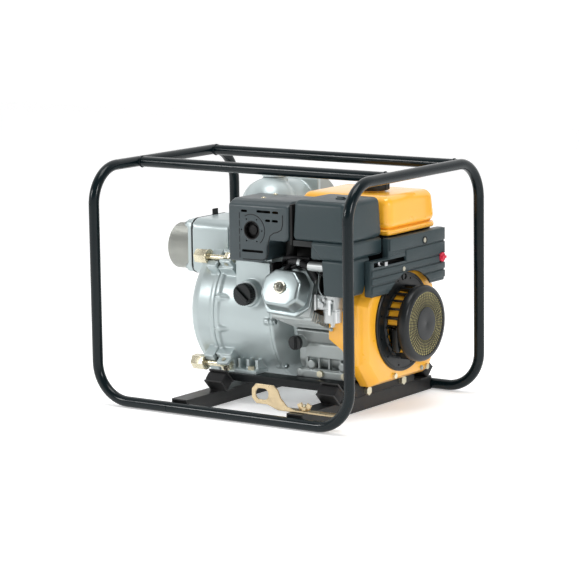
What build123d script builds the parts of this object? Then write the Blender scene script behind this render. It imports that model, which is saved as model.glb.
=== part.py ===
"""Portable engine-driven fire pump: self-priming pump, horizontal-shaft petrol engine, tube frame.

Row frame in millimetres: origin under the middle of the frame, +Z up, +X along the crankshaft from
the suction side to the recoil starter, +Y towards the fuel tank and the discharge outlet.
"""
from build123d import *
import math
import os

os.makedirs("parts", exist_ok=True)

# ---- driving dimensions ----------------------------------------------------------------------
GAP = 0.3                    # clearance between pieces of different moving bodies
TUBE_R = 12.7                # frame tube, 25.4 outside
TUBE_WALL = 2.0
BEND_R = 88.0                # centreline radius of the frame bends
FRAME_X = 360.0              # half spacing of the uprights along X, on centrelines
FRAME_Y = 282.0              # half spacing of the two U frames along Y
FRAME_TOP = 564.0            # centreline height of the top bars
CROSSBAR_Y = (-108.0, 191.0)

AXIS_Y = 58.0                # common axis of crankshaft, impeller and recoil starter
AXIS_Z = 204.0

CHANNEL_X = (-122.0, 206.0)  # centres of the two base channels
CHANNEL_W = 45.0
CHANNEL_TOP = 33.0
BED_X = (-128.0, 235.0)
BED_Y = (-115.0, 205.0)
BED_TOP = 72.0
SHEET = 4.0
MOUNT_X = (-103.0, 217.0)
MOUNT_C = (-146.0, 58.0)     # centre of a front rubber block (Y, Z); the rear ones mirror it
MOUNT_WIDTH = 50.0

DRUM_R = 165.0               # outside radius of the pump drum
DRUM_WALL = 6.0
SPLIT_X = -141.0             # plane between front cover and casing
COVER_X = -227.0             # front rim of the cover
CASING_END_X = 20.0
ADAPTER_END_X = 60.0
FLANGE_R = 170.0

INLET_Z = 340.0
GASKET_X = -269.0
NIPPLE_R = 56.5              # 4 inch pipe thread, 113 outside
NIPPLE_BORE_R = 50.0
SEAT_R = 43.0                # opening that the suction flap closes
NIPPLE_END_X = -360.0
OUTLET_X = -92.0
OUTLET_Z = 450.0
OUTLET_PLATE_X = (-138.0, -18.0)
OUTLET_FLANGE_Y = 176.0
OUTLET_END_Y = 266.0
ELBOW_R = 59.0
DOME_R = 70.0                # swelling of the discharge chamber above the casing
INLET_BOX_END_X = -160.0
INLET_BOX_Z = (284.0, 420.0)
PLUG_X = -40.0               # side plug on the volute
PLUG_Z = 267.0
DRAIN_Z = 70.0
CAP_Y = AXIS_Y + 26          # priming cap on the discharge elbow

SWING_R = 197.0              # pitch radius of the swing bolts
SWING_ANGLES = (135.6, 44.4, 216.0, 324.0)
EYE_X = -112.0
NUT_X = (-206.0, -170.3)
BOLT_R = 7.0
NUT_AF = 32.0

CYL_X = 124.0                # cylinder centre along the crankshaft
CYL_TILT = 22.0              # degrees of the cylinder axis above the horizontal
BORE_R = 44.0
CASE_X = (66.0, 228.0)
CASE_Y = (-50.0, 165.0)
CASE_Z = (86.0, 262.0)
CAM_AXIS = (AXIS_Y + 60 * math.sqrt(0.5), AXIS_Z - 60 * math.sqrt(0.5))
SHAFT_R = 12.5
FIN_PITCH = 9.5
DIPSTICK = (84.0, 158.0)     # X and Z of the oil filler
PLUG_TIP = (128.0, -118.0)   # X and Y of the spark plug cap
BOWL = (222.0, -140.0)       # X and Y of the carburettor bowl
PIPE_AT = (-150.0, 353.0)    # Y and Z of the intake pipe
HEAD_D = (190.0, 226.0)      # distance of the cylinder head from the crank axis
COVER_D = 268.0

MUFFLER_OUTLET = (22.0, 430.0)   # X and Z of the round exhaust outlet
EXHAUST_PIPE = (88.0, -110.0)
FILLER = (202.0, 68.0)       # X and Y of the fuel filler

SHROUD_X = (232.0, 262.0, 285.0)
THROTTLE_Y = -56.0
SWITCH = (200.0, 340.0)      # Y and Z of the engine switch
WRENCH_PIN = (216.0, -250.0)
RECOIL_FLANGE_R = 117.0
RECOIL_RIM_R = 80.0
RECOIL_DISC_R = 90.0
RECOIL_X = (285.0, 291.0, 336.0, 352.0)


# ---- helpers ---------------------------------------------------------------------------------
def box(x, y, z):
    """Box from three (low, high) pairs."""
    size = [b - a for a, b in (x, y, z)]
    middle = [(a + b) / 2 for a, b in (x, y, z)]
    return Pos(*middle) * Box(*size)


def rod_x(r, x0, x1, y=AXIS_Y, z=AXIS_Z):
    return Pos((x0 + x1) / 2, y, z) * Rot(0, 90, 0) * Cylinder(r, abs(x1 - x0))


def rod_y(r, y0, y1, x, z):
    return Pos(x, (y0 + y1) / 2, z) * Rot(90, 0, 0) * Cylinder(r, abs(y1 - y0))


def rod_z(r, z0, z1, x, y):
    return Pos(x, y, (z0 + z1) / 2) * Cylinder(r, abs(z1 - z0))


def ring_x(outer, inner, x0, x1, y=AXIS_Y, z=AXIS_Z):
    return rod_x(outer, x0, x1, y, z) - rod_x(inner, x0 - 1, x1 + 1, y, z)


def hex_x(flats, x0, x1, y, z):
    face = Plane(origin=(x0, y, z), z_dir=(1, 0, 0)) * RegularPolygon(flats / 2, 6, major_radius=False)
    return extrude(face, x1 - x0)


def hex_y(flats, y0, y1, x, z):
    face = Plane(origin=(x, y0, z), z_dir=(0, 1, 0)) * RegularPolygon(flats / 2, 6, major_radius=False)
    return extrude(face, y1 - y0)


def hex_z(flats, z0, z1, x, y):
    return Pos(x, y, z0) * extrude(RegularPolygon(flats / 2, 6, major_radius=False), z1 - z0)


def prism_x(points, x0, x1):
    """Prism along X from a list of (y, z) points."""
    return extrude(make_face(Polyline(*[(x0, y, z) for y, z in points], close=True)), x1 - x0,
                   dir=(1, 0, 0))


def prism_y(points, y0, y1):
    """Prism along Y from a list of (x, z) points."""
    return extrude(make_face(Polyline(*[(x, y0, z) for x, z in points], close=True)), y1 - y0,
                   dir=(0, 1, 0))


def turned_x(profile):
    """Body turned about the main axis from (x, radius) points."""
    face = make_face(Polyline(*[(x, AXIS_Y, AXIS_Z + r) for x, r in profile], close=True))
    return revolve(face, Axis((0, AXIS_Y, AXIS_Z), (1, 0, 0)))


def about_axis(part, angle):
    """Turn a part about the main axis."""
    return part.rotate(Axis((0, AXIS_Y, AXIS_Z), (1, 0, 0)), angle)


def tilted(part):
    """Place a part made along +Z at the crank axis onto the tilted cylinder axis."""
    return Pos(CYL_X, AXIS_Y, AXIS_Z) * Rot(90 - CYL_TILT, 0, 0) * part


def mirrored_y(part, about):
    return part.mirror(Plane(origin=(0, about, 0), z_dir=(0, 1, 0)))


def group(parts):
    return Compound(children=list(parts))


def clean(shape):
    """Largest solid of a result that should be one solid."""
    return max(shape.solids(), key=lambda s: s.volume)


NODES = {}


def save(name, shape):
    NODES[name] = shape
    export_step(shape, f"parts/{name}.step")


# ---- frame and base --------------------------------------------------------------------------
def loop_half(radius):
    """Right half of the frame loop as a round bar of the given radius."""
    points = [(0, -FRAME_Y, TUBE_R), (FRAME_X, -FRAME_Y, TUBE_R), (FRAME_X, -FRAME_Y, FRAME_TOP),
              (FRAME_X, FRAME_Y, FRAME_TOP), (FRAME_X, FRAME_Y, TUBE_R), (0, FRAME_Y, TUBE_R)]
    path = FilletPolyline(*points, radius=BEND_R)
    section = Plane(origin=points[0], z_dir=(1, 0, 0)) * Circle(radius)
    return sweep(section, path)


def loop_bar(radius):
    half = loop_half(radius)
    return half + half.mirror(Plane.YZ)


def make_frame():
    outer = loop_bar(TUBE_R)
    loop = outer - loop_bar(TUBE_R - TUBE_WALL)
    for side in (-1, 1):
        loop -= rod_z(3, -1, TUBE_R, side * 200, -FRAME_Y)
    save("frame_loop", clean(loop))
    bars = []
    for y in CROSSBAR_Y:
        bar = rod_x(TUBE_R, -FRAME_X, FRAME_X, y, FRAME_TOP)
        bar -= rod_x(TUBE_R - TUBE_WALL, -FRAME_X, FRAME_X, y, FRAME_TOP)
        bars.append(clean(bar - outer))
    save("top_crossbars", group(bars))
    channels = []
    for x in CHANNEL_X:
        half = CHANNEL_W / 2
        reach = FRAME_Y - 6
        channel = box((x - half, x + half), (-reach, reach), (0, CHANNEL_TOP))
        channel -= box((x - half + 3, x + half - 3), (-reach - 1, reach + 1), (-1, CHANNEL_TOP - 3))
        channels.append(clean(channel - outer))
    save("base_channels", group(channels))


def make_bed():
    x0, x1 = BED_X
    y0, y1 = BED_Y
    bed = box((x0, x1), (y0, y1), (BED_TOP - SHEET, BED_TOP))
    for low in (y0, y1 - SHEET):
        bed += box((x0, x1), (low, low + SHEET), (54, BED_TOP))
    bed += box((x1 - SHEET, x1), (-98, 188), (36, BED_TOP))
    bed -= box((x0 - 1, ADAPTER_END_X + 2), (AXIS_Y - 122, AXIS_Y + 122), (50, BED_TOP + 1))
    bed -= box((x0 - 1, -92), (y0 + SHEET, y1 - SHEET), (50, BED_TOP + 1))
    save("engine_bed", clean(bed))


def slope_plate(n0, n1, reach):
    """Plate on the 45 degree slope of a front mount, between two offsets along its normal."""
    cy, cz = MOUNT_C
    c = math.sqrt(0.5)
    corners = [(-reach, n0), (reach, n0), (reach, n1), (-reach, n1)]
    return [(cy + (n - s) * c, cz + (n + s) * c) for s, n in corners]


def make_mounts():
    middle = (BED_Y[0] + BED_Y[1]) / 2
    blocks, brackets = [], []
    for x in MOUNT_X:
        span = (x - MOUNT_WIDTH / 2, x + MOUNT_WIDTH / 2)
        block = prism_x(slope_plate(-13, 13, 17), *span)
        block = chamfer(block.edges().filter_by(Axis.X), 3)
        upper = prism_x(slope_plate(13, 17, 21), *span)
        upper += box(span, (BED_Y[0] - SHEET, BED_Y[0]), (50, BED_TOP - 1))
        lower = prism_x(slope_plate(-17, -13, 18.3), *span)
        lower += box(span, (-146, -116), (CHANNEL_TOP, CHANNEL_TOP + SHEET))
        for part in (upper, lower):
            part = clean(part)
            brackets += [part, mirrored_y(part, middle)]
        blocks += [clean(block), mirrored_y(clean(block), middle)]
    save("rubber_mounts", group(blocks))
    save("mount_brackets", group(brackets))


# ---- pump ------------------------------------------------------------------------------------
def inlet_block(x0, x1, grow=0.0):
    """Check valve box on top of the front cover, rounded along its length."""
    y = (AXIS_Y - 80 - grow, AXIS_Y + 80 + grow)
    block = box((x0, x1), y, (INLET_BOX_Z[0] - grow, INLET_BOX_Z[1] + grow))
    return fillet(block.edges().filter_by(Axis.X), 26 + grow)


def make_front_cover():
    x0, x1 = COVER_X, SPLIT_X
    outer = turned_x([(x0, 0), (x0, 128), (x0 + 6, 148), (x0 + 18, 160), (x0 + 34, DRUM_R),
                      (x1 - 12, DRUM_R), (x1 - 12, FLANGE_R), (x1, FLANGE_R), (x1, 0)])
    inner = turned_x([(x0 + 7, 0), (x0 + 7, 124), (x0 + 22, 150), (x0 + 38, DRUM_R - DRUM_WALL),
                      (x1 + 1, DRUM_R - DRUM_WALL), (x1 + 1, 0)])
    cover = outer + inlet_block(GASKET_X + 1.5, INLET_BOX_END_X)
    cover -= inner
    cavity = inlet_block(GASKET_X, INLET_BOX_END_X - 8, -8)
    cover -= cavity
    for angle in SWING_ANGLES:
        lug = box((NUT_X[1] + GAP, x1), (AXIS_Y + 160, AXIS_Y + SWING_R - 0.5), (AXIS_Z - 25, AXIS_Z + 25))
        lug -= box((-200, -100), (AXIS_Y + 178, AXIS_Y + 220), (AXIS_Z - 8.5, AXIS_Z + 8.5))
        lug -= rod_x(DRUM_R - DRUM_WALL, -200, -100)
        cover += about_axis(lug, angle)
        cover -= about_axis(box((-200, x1 + 1), (AXIS_Y + 178, AXIS_Y + 220),
                                (AXIS_Z - 8.5, AXIS_Z + 8.5)), angle)
        cover -= about_axis(box((-208, NUT_X[1] + GAP), (AXIS_Y + 173, AXIS_Y + 222),
                                (AXIS_Z - 22, AXIS_Z + 22)), angle)
    cover -= rod_x(9, x0 - 5, x0 + 12, AXIS_Y, DRAIN_Z)
    save("front_cover", clean(cover))


def make_casing():
    x0, x1 = SPLIT_X, CASING_END_X
    outer = turned_x([(x0, 0), (x0, FLANGE_R), (x0 + 12, FLANGE_R), (x0 + 14, DRUM_R), (x1, DRUM_R),
                      (x1, 0)])
    inner = turned_x([(x0 - 1, 0), (x0 - 1, DRUM_R - DRUM_WALL), (x1 - 8, DRUM_R - DRUM_WALL),
                      (x1 - 8, 0)])
    casing = outer + rod_z(ELBOW_R, 320, 378, OUTLET_X, AXIS_Y)
    casing += box(OUTLET_PLATE_X, (AXIS_Y - 72, AXIS_Y + 72), (372, 384))
    casing -= box((-200, x0), (-200, 300), (0, 400))
    casing += rod_y(31, AXIS_Y - 172, AXIS_Y - 60, PLUG_X, PLUG_Z)
    for side in (-1, 1):
        y = AXIS_Y + side * 112
        casing += box((-86, -30), (min(y, y - side * 46), max(y, y - side * 46)), (BED_TOP, 112))
        casing += box((-92, -24), (min(y + side * 50, y), max(y + side * 50, y)), (BED_TOP, BED_TOP + 9))
        for x in (-84, -58, -32):
            web = box((x - 4, x + 4), (min(y + side * 36, y), max(y + side * 36, y)), (BED_TOP, 104))
            casing += web
    for angle in SWING_ANGLES:
        ear = box((EYE_X - 17, EYE_X + 17), (AXIS_Y + 155, AXIS_Y + SWING_R + 12), (AXIS_Z - 18, AXIS_Z + 18))
        casing += about_axis(ear, angle)
    casing -= inner
    casing -= rod_z(NIPPLE_BORE_R - 4, 300, 390, OUTLET_X, AXIS_Y)
    casing -= rod_y(22, AXIS_Y - 175, AXIS_Y - 60, PLUG_X, PLUG_Z)
    casing -= rod_x(26, 0, 30)
    for angle in SWING_ANGLES:
        slot = box((EYE_X - 40, EYE_X + 25), (AXIS_Y + SWING_R - 17, AXIS_Y + 230), (AXIS_Z - 9, AXIS_Z + 9))
        pin = Pos(EYE_X, AXIS_Y + SWING_R, AXIS_Z) * Cylinder(5, 60)
        casing -= about_axis(slot, angle)
        casing -= about_axis(pin, angle)
    save("pump_casing", clean(casing))


def make_adapter():
    x0, x1 = CASING_END_X, ADAPTER_END_X
    adapter = turned_x([(x0, 28), (x0, DRUM_R), (x0 + 8, DRUM_R), (x0 + 16, 150), (x1 - 8, 112),
                        (x1, 112), (x1, 28)])
    adapter -= turned_x([(x0 + 8, 28 - 1), (x0 + 8, 140), (x1 - 8, 96), (x1 - 8, 28 - 1)])
    for angle in (0, 90, 180, 270):
        adapter -= about_axis(rod_x(14, x0 + 6, x1 + 1, AXIS_Y + 62, AXIS_Z), angle + 45)
    save("pump_adapter", clean(adapter))


def make_swing_bolts():
    for number, angle in enumerate(SWING_ANGLES, 1):
        y, z = AXIS_Y + SWING_R, AXIS_Z
        bolt = rod_x(BOLT_R, NUT_X[0] + 2, EYE_X - 8, y, z)
        bolt += Pos(EYE_X, y, z) * Cylinder(14, 16)
        bolt -= Pos(EYE_X, y, z) * Cylinder(5.05, 40)
        nut = hex_x(NUT_AF, NUT_X[0], NUT_X[1] - 3, y, z) + rod_x(18, NUT_X[1] - 3, NUT_X[1], y, z)
        nut -= rod_x(BOLT_R + 0.05, NUT_X[0] - 1, NUT_X[1] + 1, y, z)
        save(f"swing_bolt_{number}", clean(about_axis(bolt, angle)))
        save(f"cover_nut_{number}", clean(about_axis(nut, angle)))


def make_suction():
    plate = box((-283, GASKET_X - 1.5), (AXIS_Y - 78, AXIS_Y + 78), (286, 418))
    plate = fillet(plate.edges().filter_by(Axis.X), 24)
    plate += rod_x(64, -292, -283, AXIS_Y, INLET_Z)
    plate -= rod_x(SEAT_R, -300, -260, AXIS_Y, INLET_Z)
    save("suction_flange", clean(plate))
    gasket = inlet_block(GASKET_X - 1.5, GASKET_X + 1.5)
    gasket += box((GASKET_X - 1.5, GASKET_X + 1.5), (66, 86), (418, 434))
    gasket -= rod_x(SEAT_R, -280, -260, AXIS_Y, INLET_Z)
    save("check_valve_gasket", clean(gasket))
    nipple = rod_x(NIPPLE_R, NIPPLE_END_X, -292, AXIS_Y, INLET_Z)
    nipple -= rod_x(NIPPLE_BORE_R, -400, -260, AXIS_Y, INLET_Z)
    save("suction_nipple", clean(nipple))
    disc_x = GASKET_X + 1.5 + GAP
    flap = rod_x(47, disc_x, disc_x + 4, AXIS_Y, INLET_Z) + rod_x(34, disc_x + 4, disc_x + 10, AXIS_Y, INLET_Z)
    flap += box((disc_x, disc_x + 4), (AXIS_Y - 22, AXIS_Y + 22), (380, 398))
    flap += rod_y(4, AXIS_Y - 22, AXIS_Y + 22, disc_x + 4, 398)
    save("suction_flap", clean(flap))


def make_discharge():
    x, y = OUTLET_X, AXIS_Y
    path = FilletPolyline((x, y, 386), (x, y, OUTLET_Z), (x, OUTLET_FLANGE_Y, OUTLET_Z), radius=62)
    elbow = sweep(Plane(origin=(x, y, 386)) * Circle(ELBOW_R), path)
    elbow += box(OUTLET_PLATE_X, (y - 72, y + 72), (386, 398))
    elbow += box((x - 70, x + 70), (OUTLET_FLANGE_Y - 12, OUTLET_FLANGE_Y), (OUTLET_Z - 62, OUTLET_Z + 62))
    elbow += Pos(x, y, OUTLET_Z + 2) * Sphere(DOME_R)
    elbow -= box((x - 90, x + 90), (y - 90, y + 90), (360, 386))
    elbow += rod_z(30, OUTLET_Z, 524, x, CAP_Y)
    elbow -= sweep(Plane(origin=(x, y, 386)) * Circle(NIPPLE_BORE_R), path)
    elbow -= rod_z(NIPPLE_BORE_R, 380, 390, x, y)
    elbow -= rod_z(20, OUTLET_Z, 530, x, CAP_Y)
    save("discharge_elbow", clean(elbow))
    nipple = rod_y(NIPPLE_R, OUTLET_FLANGE_Y, OUTLET_END_Y, x, OUTLET_Z)
    nipple -= rod_y(NIPPLE_BORE_R, OUTLET_FLANGE_Y - 1, OUTLET_END_Y + 1, x, OUTLET_Z)
    save("discharge_nipple", clean(nipple))
    cap = rod_z(33, 524 + GAP, 538, x, CAP_Y) + box((x - 26, x + 26), (CAP_Y - 5, CAP_Y + 5), (536, 549))
    cap += rod_z(20 - 0.05, 508, 526, x, CAP_Y)
    save("priming_cap", clean(cap))


def make_plugs():
    y_face = AXIS_Y - 172 - GAP
    plug = rod_y(25, y_face - 20, y_face, PLUG_X, PLUG_Z) + rod_y(22 - 0.05, y_face - 1, -92, PLUG_X, PLUG_Z)
    plug += box((PLUG_X - 23, PLUG_X + 23), (y_face - 27, y_face - 18), (PLUG_Z - 4, PLUG_Z + 4))
    save("side_plug", clean(plug))
    drain = rod_x(9 - 0.05, COVER_X, COVER_X + 12, AXIS_Y, DRAIN_Z)
    drain += hex_x(22, COVER_X - 14, COVER_X - GAP, AXIS_Y, DRAIN_Z)
    drain += rod_x(14, COVER_X - 3, COVER_X - GAP, AXIS_Y, DRAIN_Z)
    save("drain_plug", clean(drain))


def make_wet_end():
    seal = ring_x(DRUM_R - DRUM_WALL - 0.2, DRUM_R - DRUM_WALL - 4, SPLIT_X - 2, SPLIT_X + 2)
    mechanical = ring_x(25.9, SHAFT_R + 0.05, -6, 20)
    x, y = OUTLET_X, AXIS_Y
    gasket = box(OUTLET_PLATE_X, (y - 72, y + 72), (384, 386)) - rod_z(NIPPLE_BORE_R, 380, 390, x, y)
    save("pump_seals", group([seal, clean(mechanical), clean(gasket)]))
    volute = clean(ring_x(118, 96, -62, 2)) + ring_x(118, 42, -68, -62)
    for angle in (20, 140, 260):
        volute += about_axis(box((-20, 12), (AXIS_Y + 100, AXIS_Y + 117), (AXIS_Z - 9, AXIS_Z + 9)), angle)
    save("volute_insert", clean(volute))
    impeller = rod_x(88, -22, -14) + rod_x(22, -48, -14)
    for angle in range(0, 360, 120):
        vane = Pos(0, AXIS_Y, AXIS_Z) * Rot(0, 90, 0) * Pos(0, 0, -54)
        arc = ThreePointArc((16, 0, 0), (52, 26, 0), (84, 18, 0))
        blade = extrude(make_face([arc, Line((84, 18, 0), (84, 26, 0)),
                                   ThreePointArc((84, 26, 0), (50, 34, 0), (14, 8, 0)),
                                   Line((14, 8, 0), (16, 0, 0))]), 36)
        impeller += about_axis(vane * blade, angle)
    impeller -= rod_x(SHAFT_R, -60, 0)
    save("impeller", clean(impeller))


# ---- engine ----------------------------------------------------------------------------------
def gear(teeth, module, x0, x1, y, z, phase):
    """Spur gear about X with straight-flanked teeth and working backlash."""
    pitch = teeth * module / 2
    root, tip = pitch - 1.25 * module, pitch + 0.85 * module
    outline = []
    for tooth in range(teeth):
        middle = math.radians(phase + 360 * tooth / teeth)
        for radius, share in ((root, -0.36), (tip, -0.13), (tip, 0.13), (root, 0.36)):
            a = middle + share * 2 * math.pi / teeth
            outline.append((y + radius * math.cos(a), z + radius * math.sin(a)))
    return prism_x(outline, x0, x1)


def make_crankcase():
    case = fillet(box(CASE_X, CASE_Y, CASE_Z).edges().filter_by(Axis.X), 30)
    case += box((70, 226), (-65, 176), (BED_TOP, 90))
    case += tilted(box((-51, 51), (-52, 52), (60, 190)))
    for fin in range(8):
        base = 112 + fin * FIN_PITCH
        case += tilted(box((-56, 56), (-62, 62), (base, base + 3.5)))
    case += rod_y(15, -88, CASE_Y[0] + 10, *DIPSTICK)
    case += box((90, 222), (-58, CASE_Y[0] + 5), (120, 150))
    case -= fillet(box((90, 208), (CASE_Y[0] + 8, CASE_Y[1] - 8), (96, 254)).edges().filter_by(Axis.X), 22)
    case -= tilted(Pos(0, 0, 125) * Cylinder(BORE_R, 131))
    case -= rod_x(30, CASE_X[0] - 1, 91)
    case -= rod_x(30, 207, 222)
    case -= rod_x(18, 221, CASE_X[1] + 1)
    case -= rod_y(10, -90, CASE_Y[0] + 10, *DIPSTICK)
    case -= rod_x(8.05, 82, 216, *CAM_AXIS)
    save("crankcase", clean(case))
    cover = turned_x([(ADAPTER_END_X, 19), (ADAPTER_END_X, 86), (CASE_X[0], 86), (CASE_X[0], 19)])
    cover += box((ADAPTER_END_X, CASE_X[0]), (-30, 140), (100, 200)) - rod_x(19, 50, 70)
    save("crankcase_cover", clean(cover))


def make_crank():
    throw = 32.0
    shaft = rod_x(SHAFT_R, -58, 62) + rod_x(17, 62, 228) + rod_x(SHAFT_R, 228, 284)
    shaft += rod_x(48, 94, 106) + rod_x(48, 138, 150)
    shaft -= rod_x(17.5, 106, 138)
    a = math.radians(CYL_TILT)
    pin_y, pin_z = AXIS_Y - throw * math.cos(a), AXIS_Z + throw * math.sin(a)
    shaft += rod_x(14, 105, 139, pin_y, pin_z)
    shaft += gear(20, 2.0, 158, 172, AXIS_Y, AXIS_Z, 0)
    save("crankshaft", clean(shaft))
    cam_y, cam_z = CAM_AXIS
    cam = rod_x(8, 83, 215, cam_y, cam_z) + gear(40, 2.0, 159, 171, cam_y, cam_z, 135)
    cam += rod_x(13, 178, 188, cam_y + 4, cam_z) + rod_x(13, 193, 203, cam_y, cam_z + 4)
    save("camshaft", clean(cam))
    bearings = [ring_x(29.9, 17.04, 76, 90), ring_x(29.9, 17.04, 207.5, 221)]
    save("crank_bearings", group(bearings))
    wheel = rod_x(96, 240, 252) + ring_x(96, 78, 252, 262)
    for angle in range(0, 360, 18):
        wheel += about_axis(box((251, 274), (AXIS_Y + 52, AXIS_Y + 92), (AXIS_Z - 1.5, AXIS_Z + 1.5)), angle)
    wheel += rod_x(30, 234, 270)
    wheel -= rod_x(SHAFT_R, 230, 275)
    save("flywheel_fan", clean(wheel))


def make_top_end():
    head = tilted(box((-53, 53), (-55, 55), (HEAD_D[0], HEAD_D[1])))
    for fin in range(3):
        base = HEAD_D[0] + 3 + fin * 10
        head += tilted(box((-56, 56), (-62, 62), (base, base + 3.5)))
    save("cylinder_head", clean(head))
    outline = [(-70, -20), (-48, -54), (34, -58), (66, -34), (68, 22), (40, 54), (-30, 58), (-66, 30)]
    inset = [(0.80 * x, 0.82 * y) for x, y in outline]
    flange = extrude(make_face(Polyline(*[(x, y, HEAD_D[1]) for x, y in outline], close=True)), 7)
    dome = extrude(make_face(Polyline(*[(x, y, HEAD_D[1]) for x, y in inset], close=True)),
                   COVER_D - HEAD_D[1], taper=10)
    cover = tilted(Pos(-14, 0, 0) * chamfer((flange + dome).faces().sort_by(Axis.Z)[-1].edges(), 5))
    save("valve_cover", clean(cover))
    piston = tilted(Pos(0, 0, 140) * Cylinder(BORE_R - 0.2, 52) - Pos(0, 0, 134) * Cylinder(36, 46))
    pin = tilted(Pos(0, 0, 142) * Rot(0, 90, 0) * Cylinder(9, 78))
    piston -= pin
    rod = tilted(box((-9, 9), (-8, 8), (54, 132)) + Pos(0, 0, 142) * Rot(0, 90, 0) * Cylinder(15, 20))
    rod -= pin
    save("piston_and_rod", group([clean(piston), clean(pin), clean(rod)]))


def make_ignition():
    cap = rod_z(10, 343, 358, *PLUG_TIP) + Pos(*PLUG_TIP, 358) * Sphere(11)
    cap += rod_x(8, PLUG_TIP[0], 146, PLUG_TIP[1], 358)
    points = [(146, -118, 358), (170, -117, 360), (192, -98, 346), (204, -82, 316), (220, -74, 284),
              (240, -70, 268)]
    path = FilletPolyline(*points, radius=20)
    lead = sweep(Plane(origin=points[0], z_dir=(1, 0, 0)) * Circle(3.6), path)
    save("spark_plug_lead", group([clean(cap), clean(lead)]))


def make_induction():
    body = box((190, 240), (-158, -122), (256, 288.5)) + rod_z(21, 226, 258, *BOWL)
    body += rod_z(6, 219, 228, *BOWL)
    body += rod_x(17, 181, 192, -140, 272)
    pipe = rod_x(11, 166, 216, *PIPE_AT)
    save("carburetor", clean(body))
    save("intake_pipe", clean(pipe))
    case = box((216, 284), (-178, -104), (289, 372)) + box((190, 284), (-178, -28), (372, 400))
    case = fillet(case.edges().filter_by(Axis.Z), 6)
    case -= box((220, 280), (-174, -108), (293, 401)) + box((194, 280), (-174, -32), (376, 401))
    save("air_cleaner_case", clean(case))
    cover = fillet(box((137, 286), (-180, -24), (400, 508)).edges().filter_by(Axis.Z), 18)
    cover = chamfer(cover.faces().sort_by(Axis.Z)[-1].edges(), 8)
    cover -= box((141, 282), (-176, -28), (399, 500))
    save("air_cleaner_cover", clean(cover))
    filt = fillet(box((150, 274), (-168, -36), (404, 488)).edges().filter_by(Axis.Z), 20)
    filt -= fillet(box((170, 254), (-148, -56), (403, 476)).edges().filter_by(Axis.Z), 10)
    save("filter_element", clean(filt))


def make_exhaust():
    can = fillet(box((-34, 52), (-164, -58), (364, 488)).edges().filter_by(Axis.Z), 14)
    pipe = rod_z(13, 345, 440, *EXHAUST_PIPE) + rod_x(13, 50, EXHAUST_PIPE[0], EXHAUST_PIPE[1], 440)
    pipe += rod_y(11, -170, -160, *MUFFLER_OUTLET)
    can = can + pipe
    save("muffler", clean(can))
    outline = [(-45, 355), (52, 355), (63, 366), (63, 398), (73, 408), (116, 408), (125, 417),
               (125, 500), (-45, 500)]
    inner = [(-42, 350), (50.8, 350), (60, 367), (60, 399), (71.5, 411), (115, 411), (122, 418),
             (122, 497), (-42, 497)]
    cover = prism_y(outline, -176, -46) - prism_y(inner, -173, -40)
    cover -= rod_y(13, -180, -170, *MUFFLER_OUTLET)
    cover -= rod_z(15, 400, 415, *EXHAUST_PIPE)
    save("muffler_cover", clean(cover))


def make_fuel():
    tank = fillet(box((45, 300), (-18, 190), (414, 505)).edges().filter_by(Axis.Z), 34)
    tank = fillet(tank.faces().sort_by(Axis.Z)[-1].edges(), 16)
    seam = fillet(box((41, 303), (-20.5, 194), (424, 428)).edges().filter_by(Axis.Z), 38)
    neck = rod_z(30, 500, 509, *FILLER)
    tank = tank + seam + neck
    hollow = fillet(box((49, 296), (-14, 186), (418, 501)).edges().filter_by(Axis.Z), 30)
    hollow = fillet(hollow.faces().sort_by(Axis.Z)[-1].edges(), 14)
    tank -= hollow
    tank -= rod_z(24, 495, 512, *FILLER)
    save("fuel_tank", clean(tank))
    cap = rod_z(35, 509 + GAP, 524, *FILLER) + rod_z(24 - 0.05, 500, 512, *FILLER)
    for angle in range(0, 360, 30):
        cap += Pos(*FILLER, 0) * Rot(0, 0, angle) * Pos(35, 0, 517) * Box(4, 9, 13)
    save("fuel_cap", clean(cap))


def shroud_outline(inset):
    points = [(-98, 118), (-98, 262), (-50, 330), (166, 330), (206, 280), (206, 100), (182, 62), (-52, 62)]
    cy, cz = 54.0, 196.0
    kx, kz = 1 - inset / 152.0, 1 - inset / 134.0
    return [(cy + (y - cy) * kx, cz + (z - cz) * kz) for y, z in points]


def make_shroud():
    def solid(inset, x0, x1, x2):
        back = prism_x(shroud_outline(inset), x0, x1)
        face = make_face(Polyline(*[(x1, y, z) for y, z in shroud_outline(inset)], close=True))
        front = extrude(face, x2 - x1, dir=(1, 0, 0), taper=34)
        return back + front
    x0, x1, x2 = SHROUD_X
    shroud = solid(0, x0 + 4.3, x1, x2) - solid(3, x0 - 1, x1, x2 - 3)
    shroud += prism_y([(182, 176), (182, 228), (240, 256), (240, 118), (218, 153)], -98, -95)
    shroud -= rod_x(100, x1, x2 + 5)
    save("blower_housing", clean(shroud))


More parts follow.
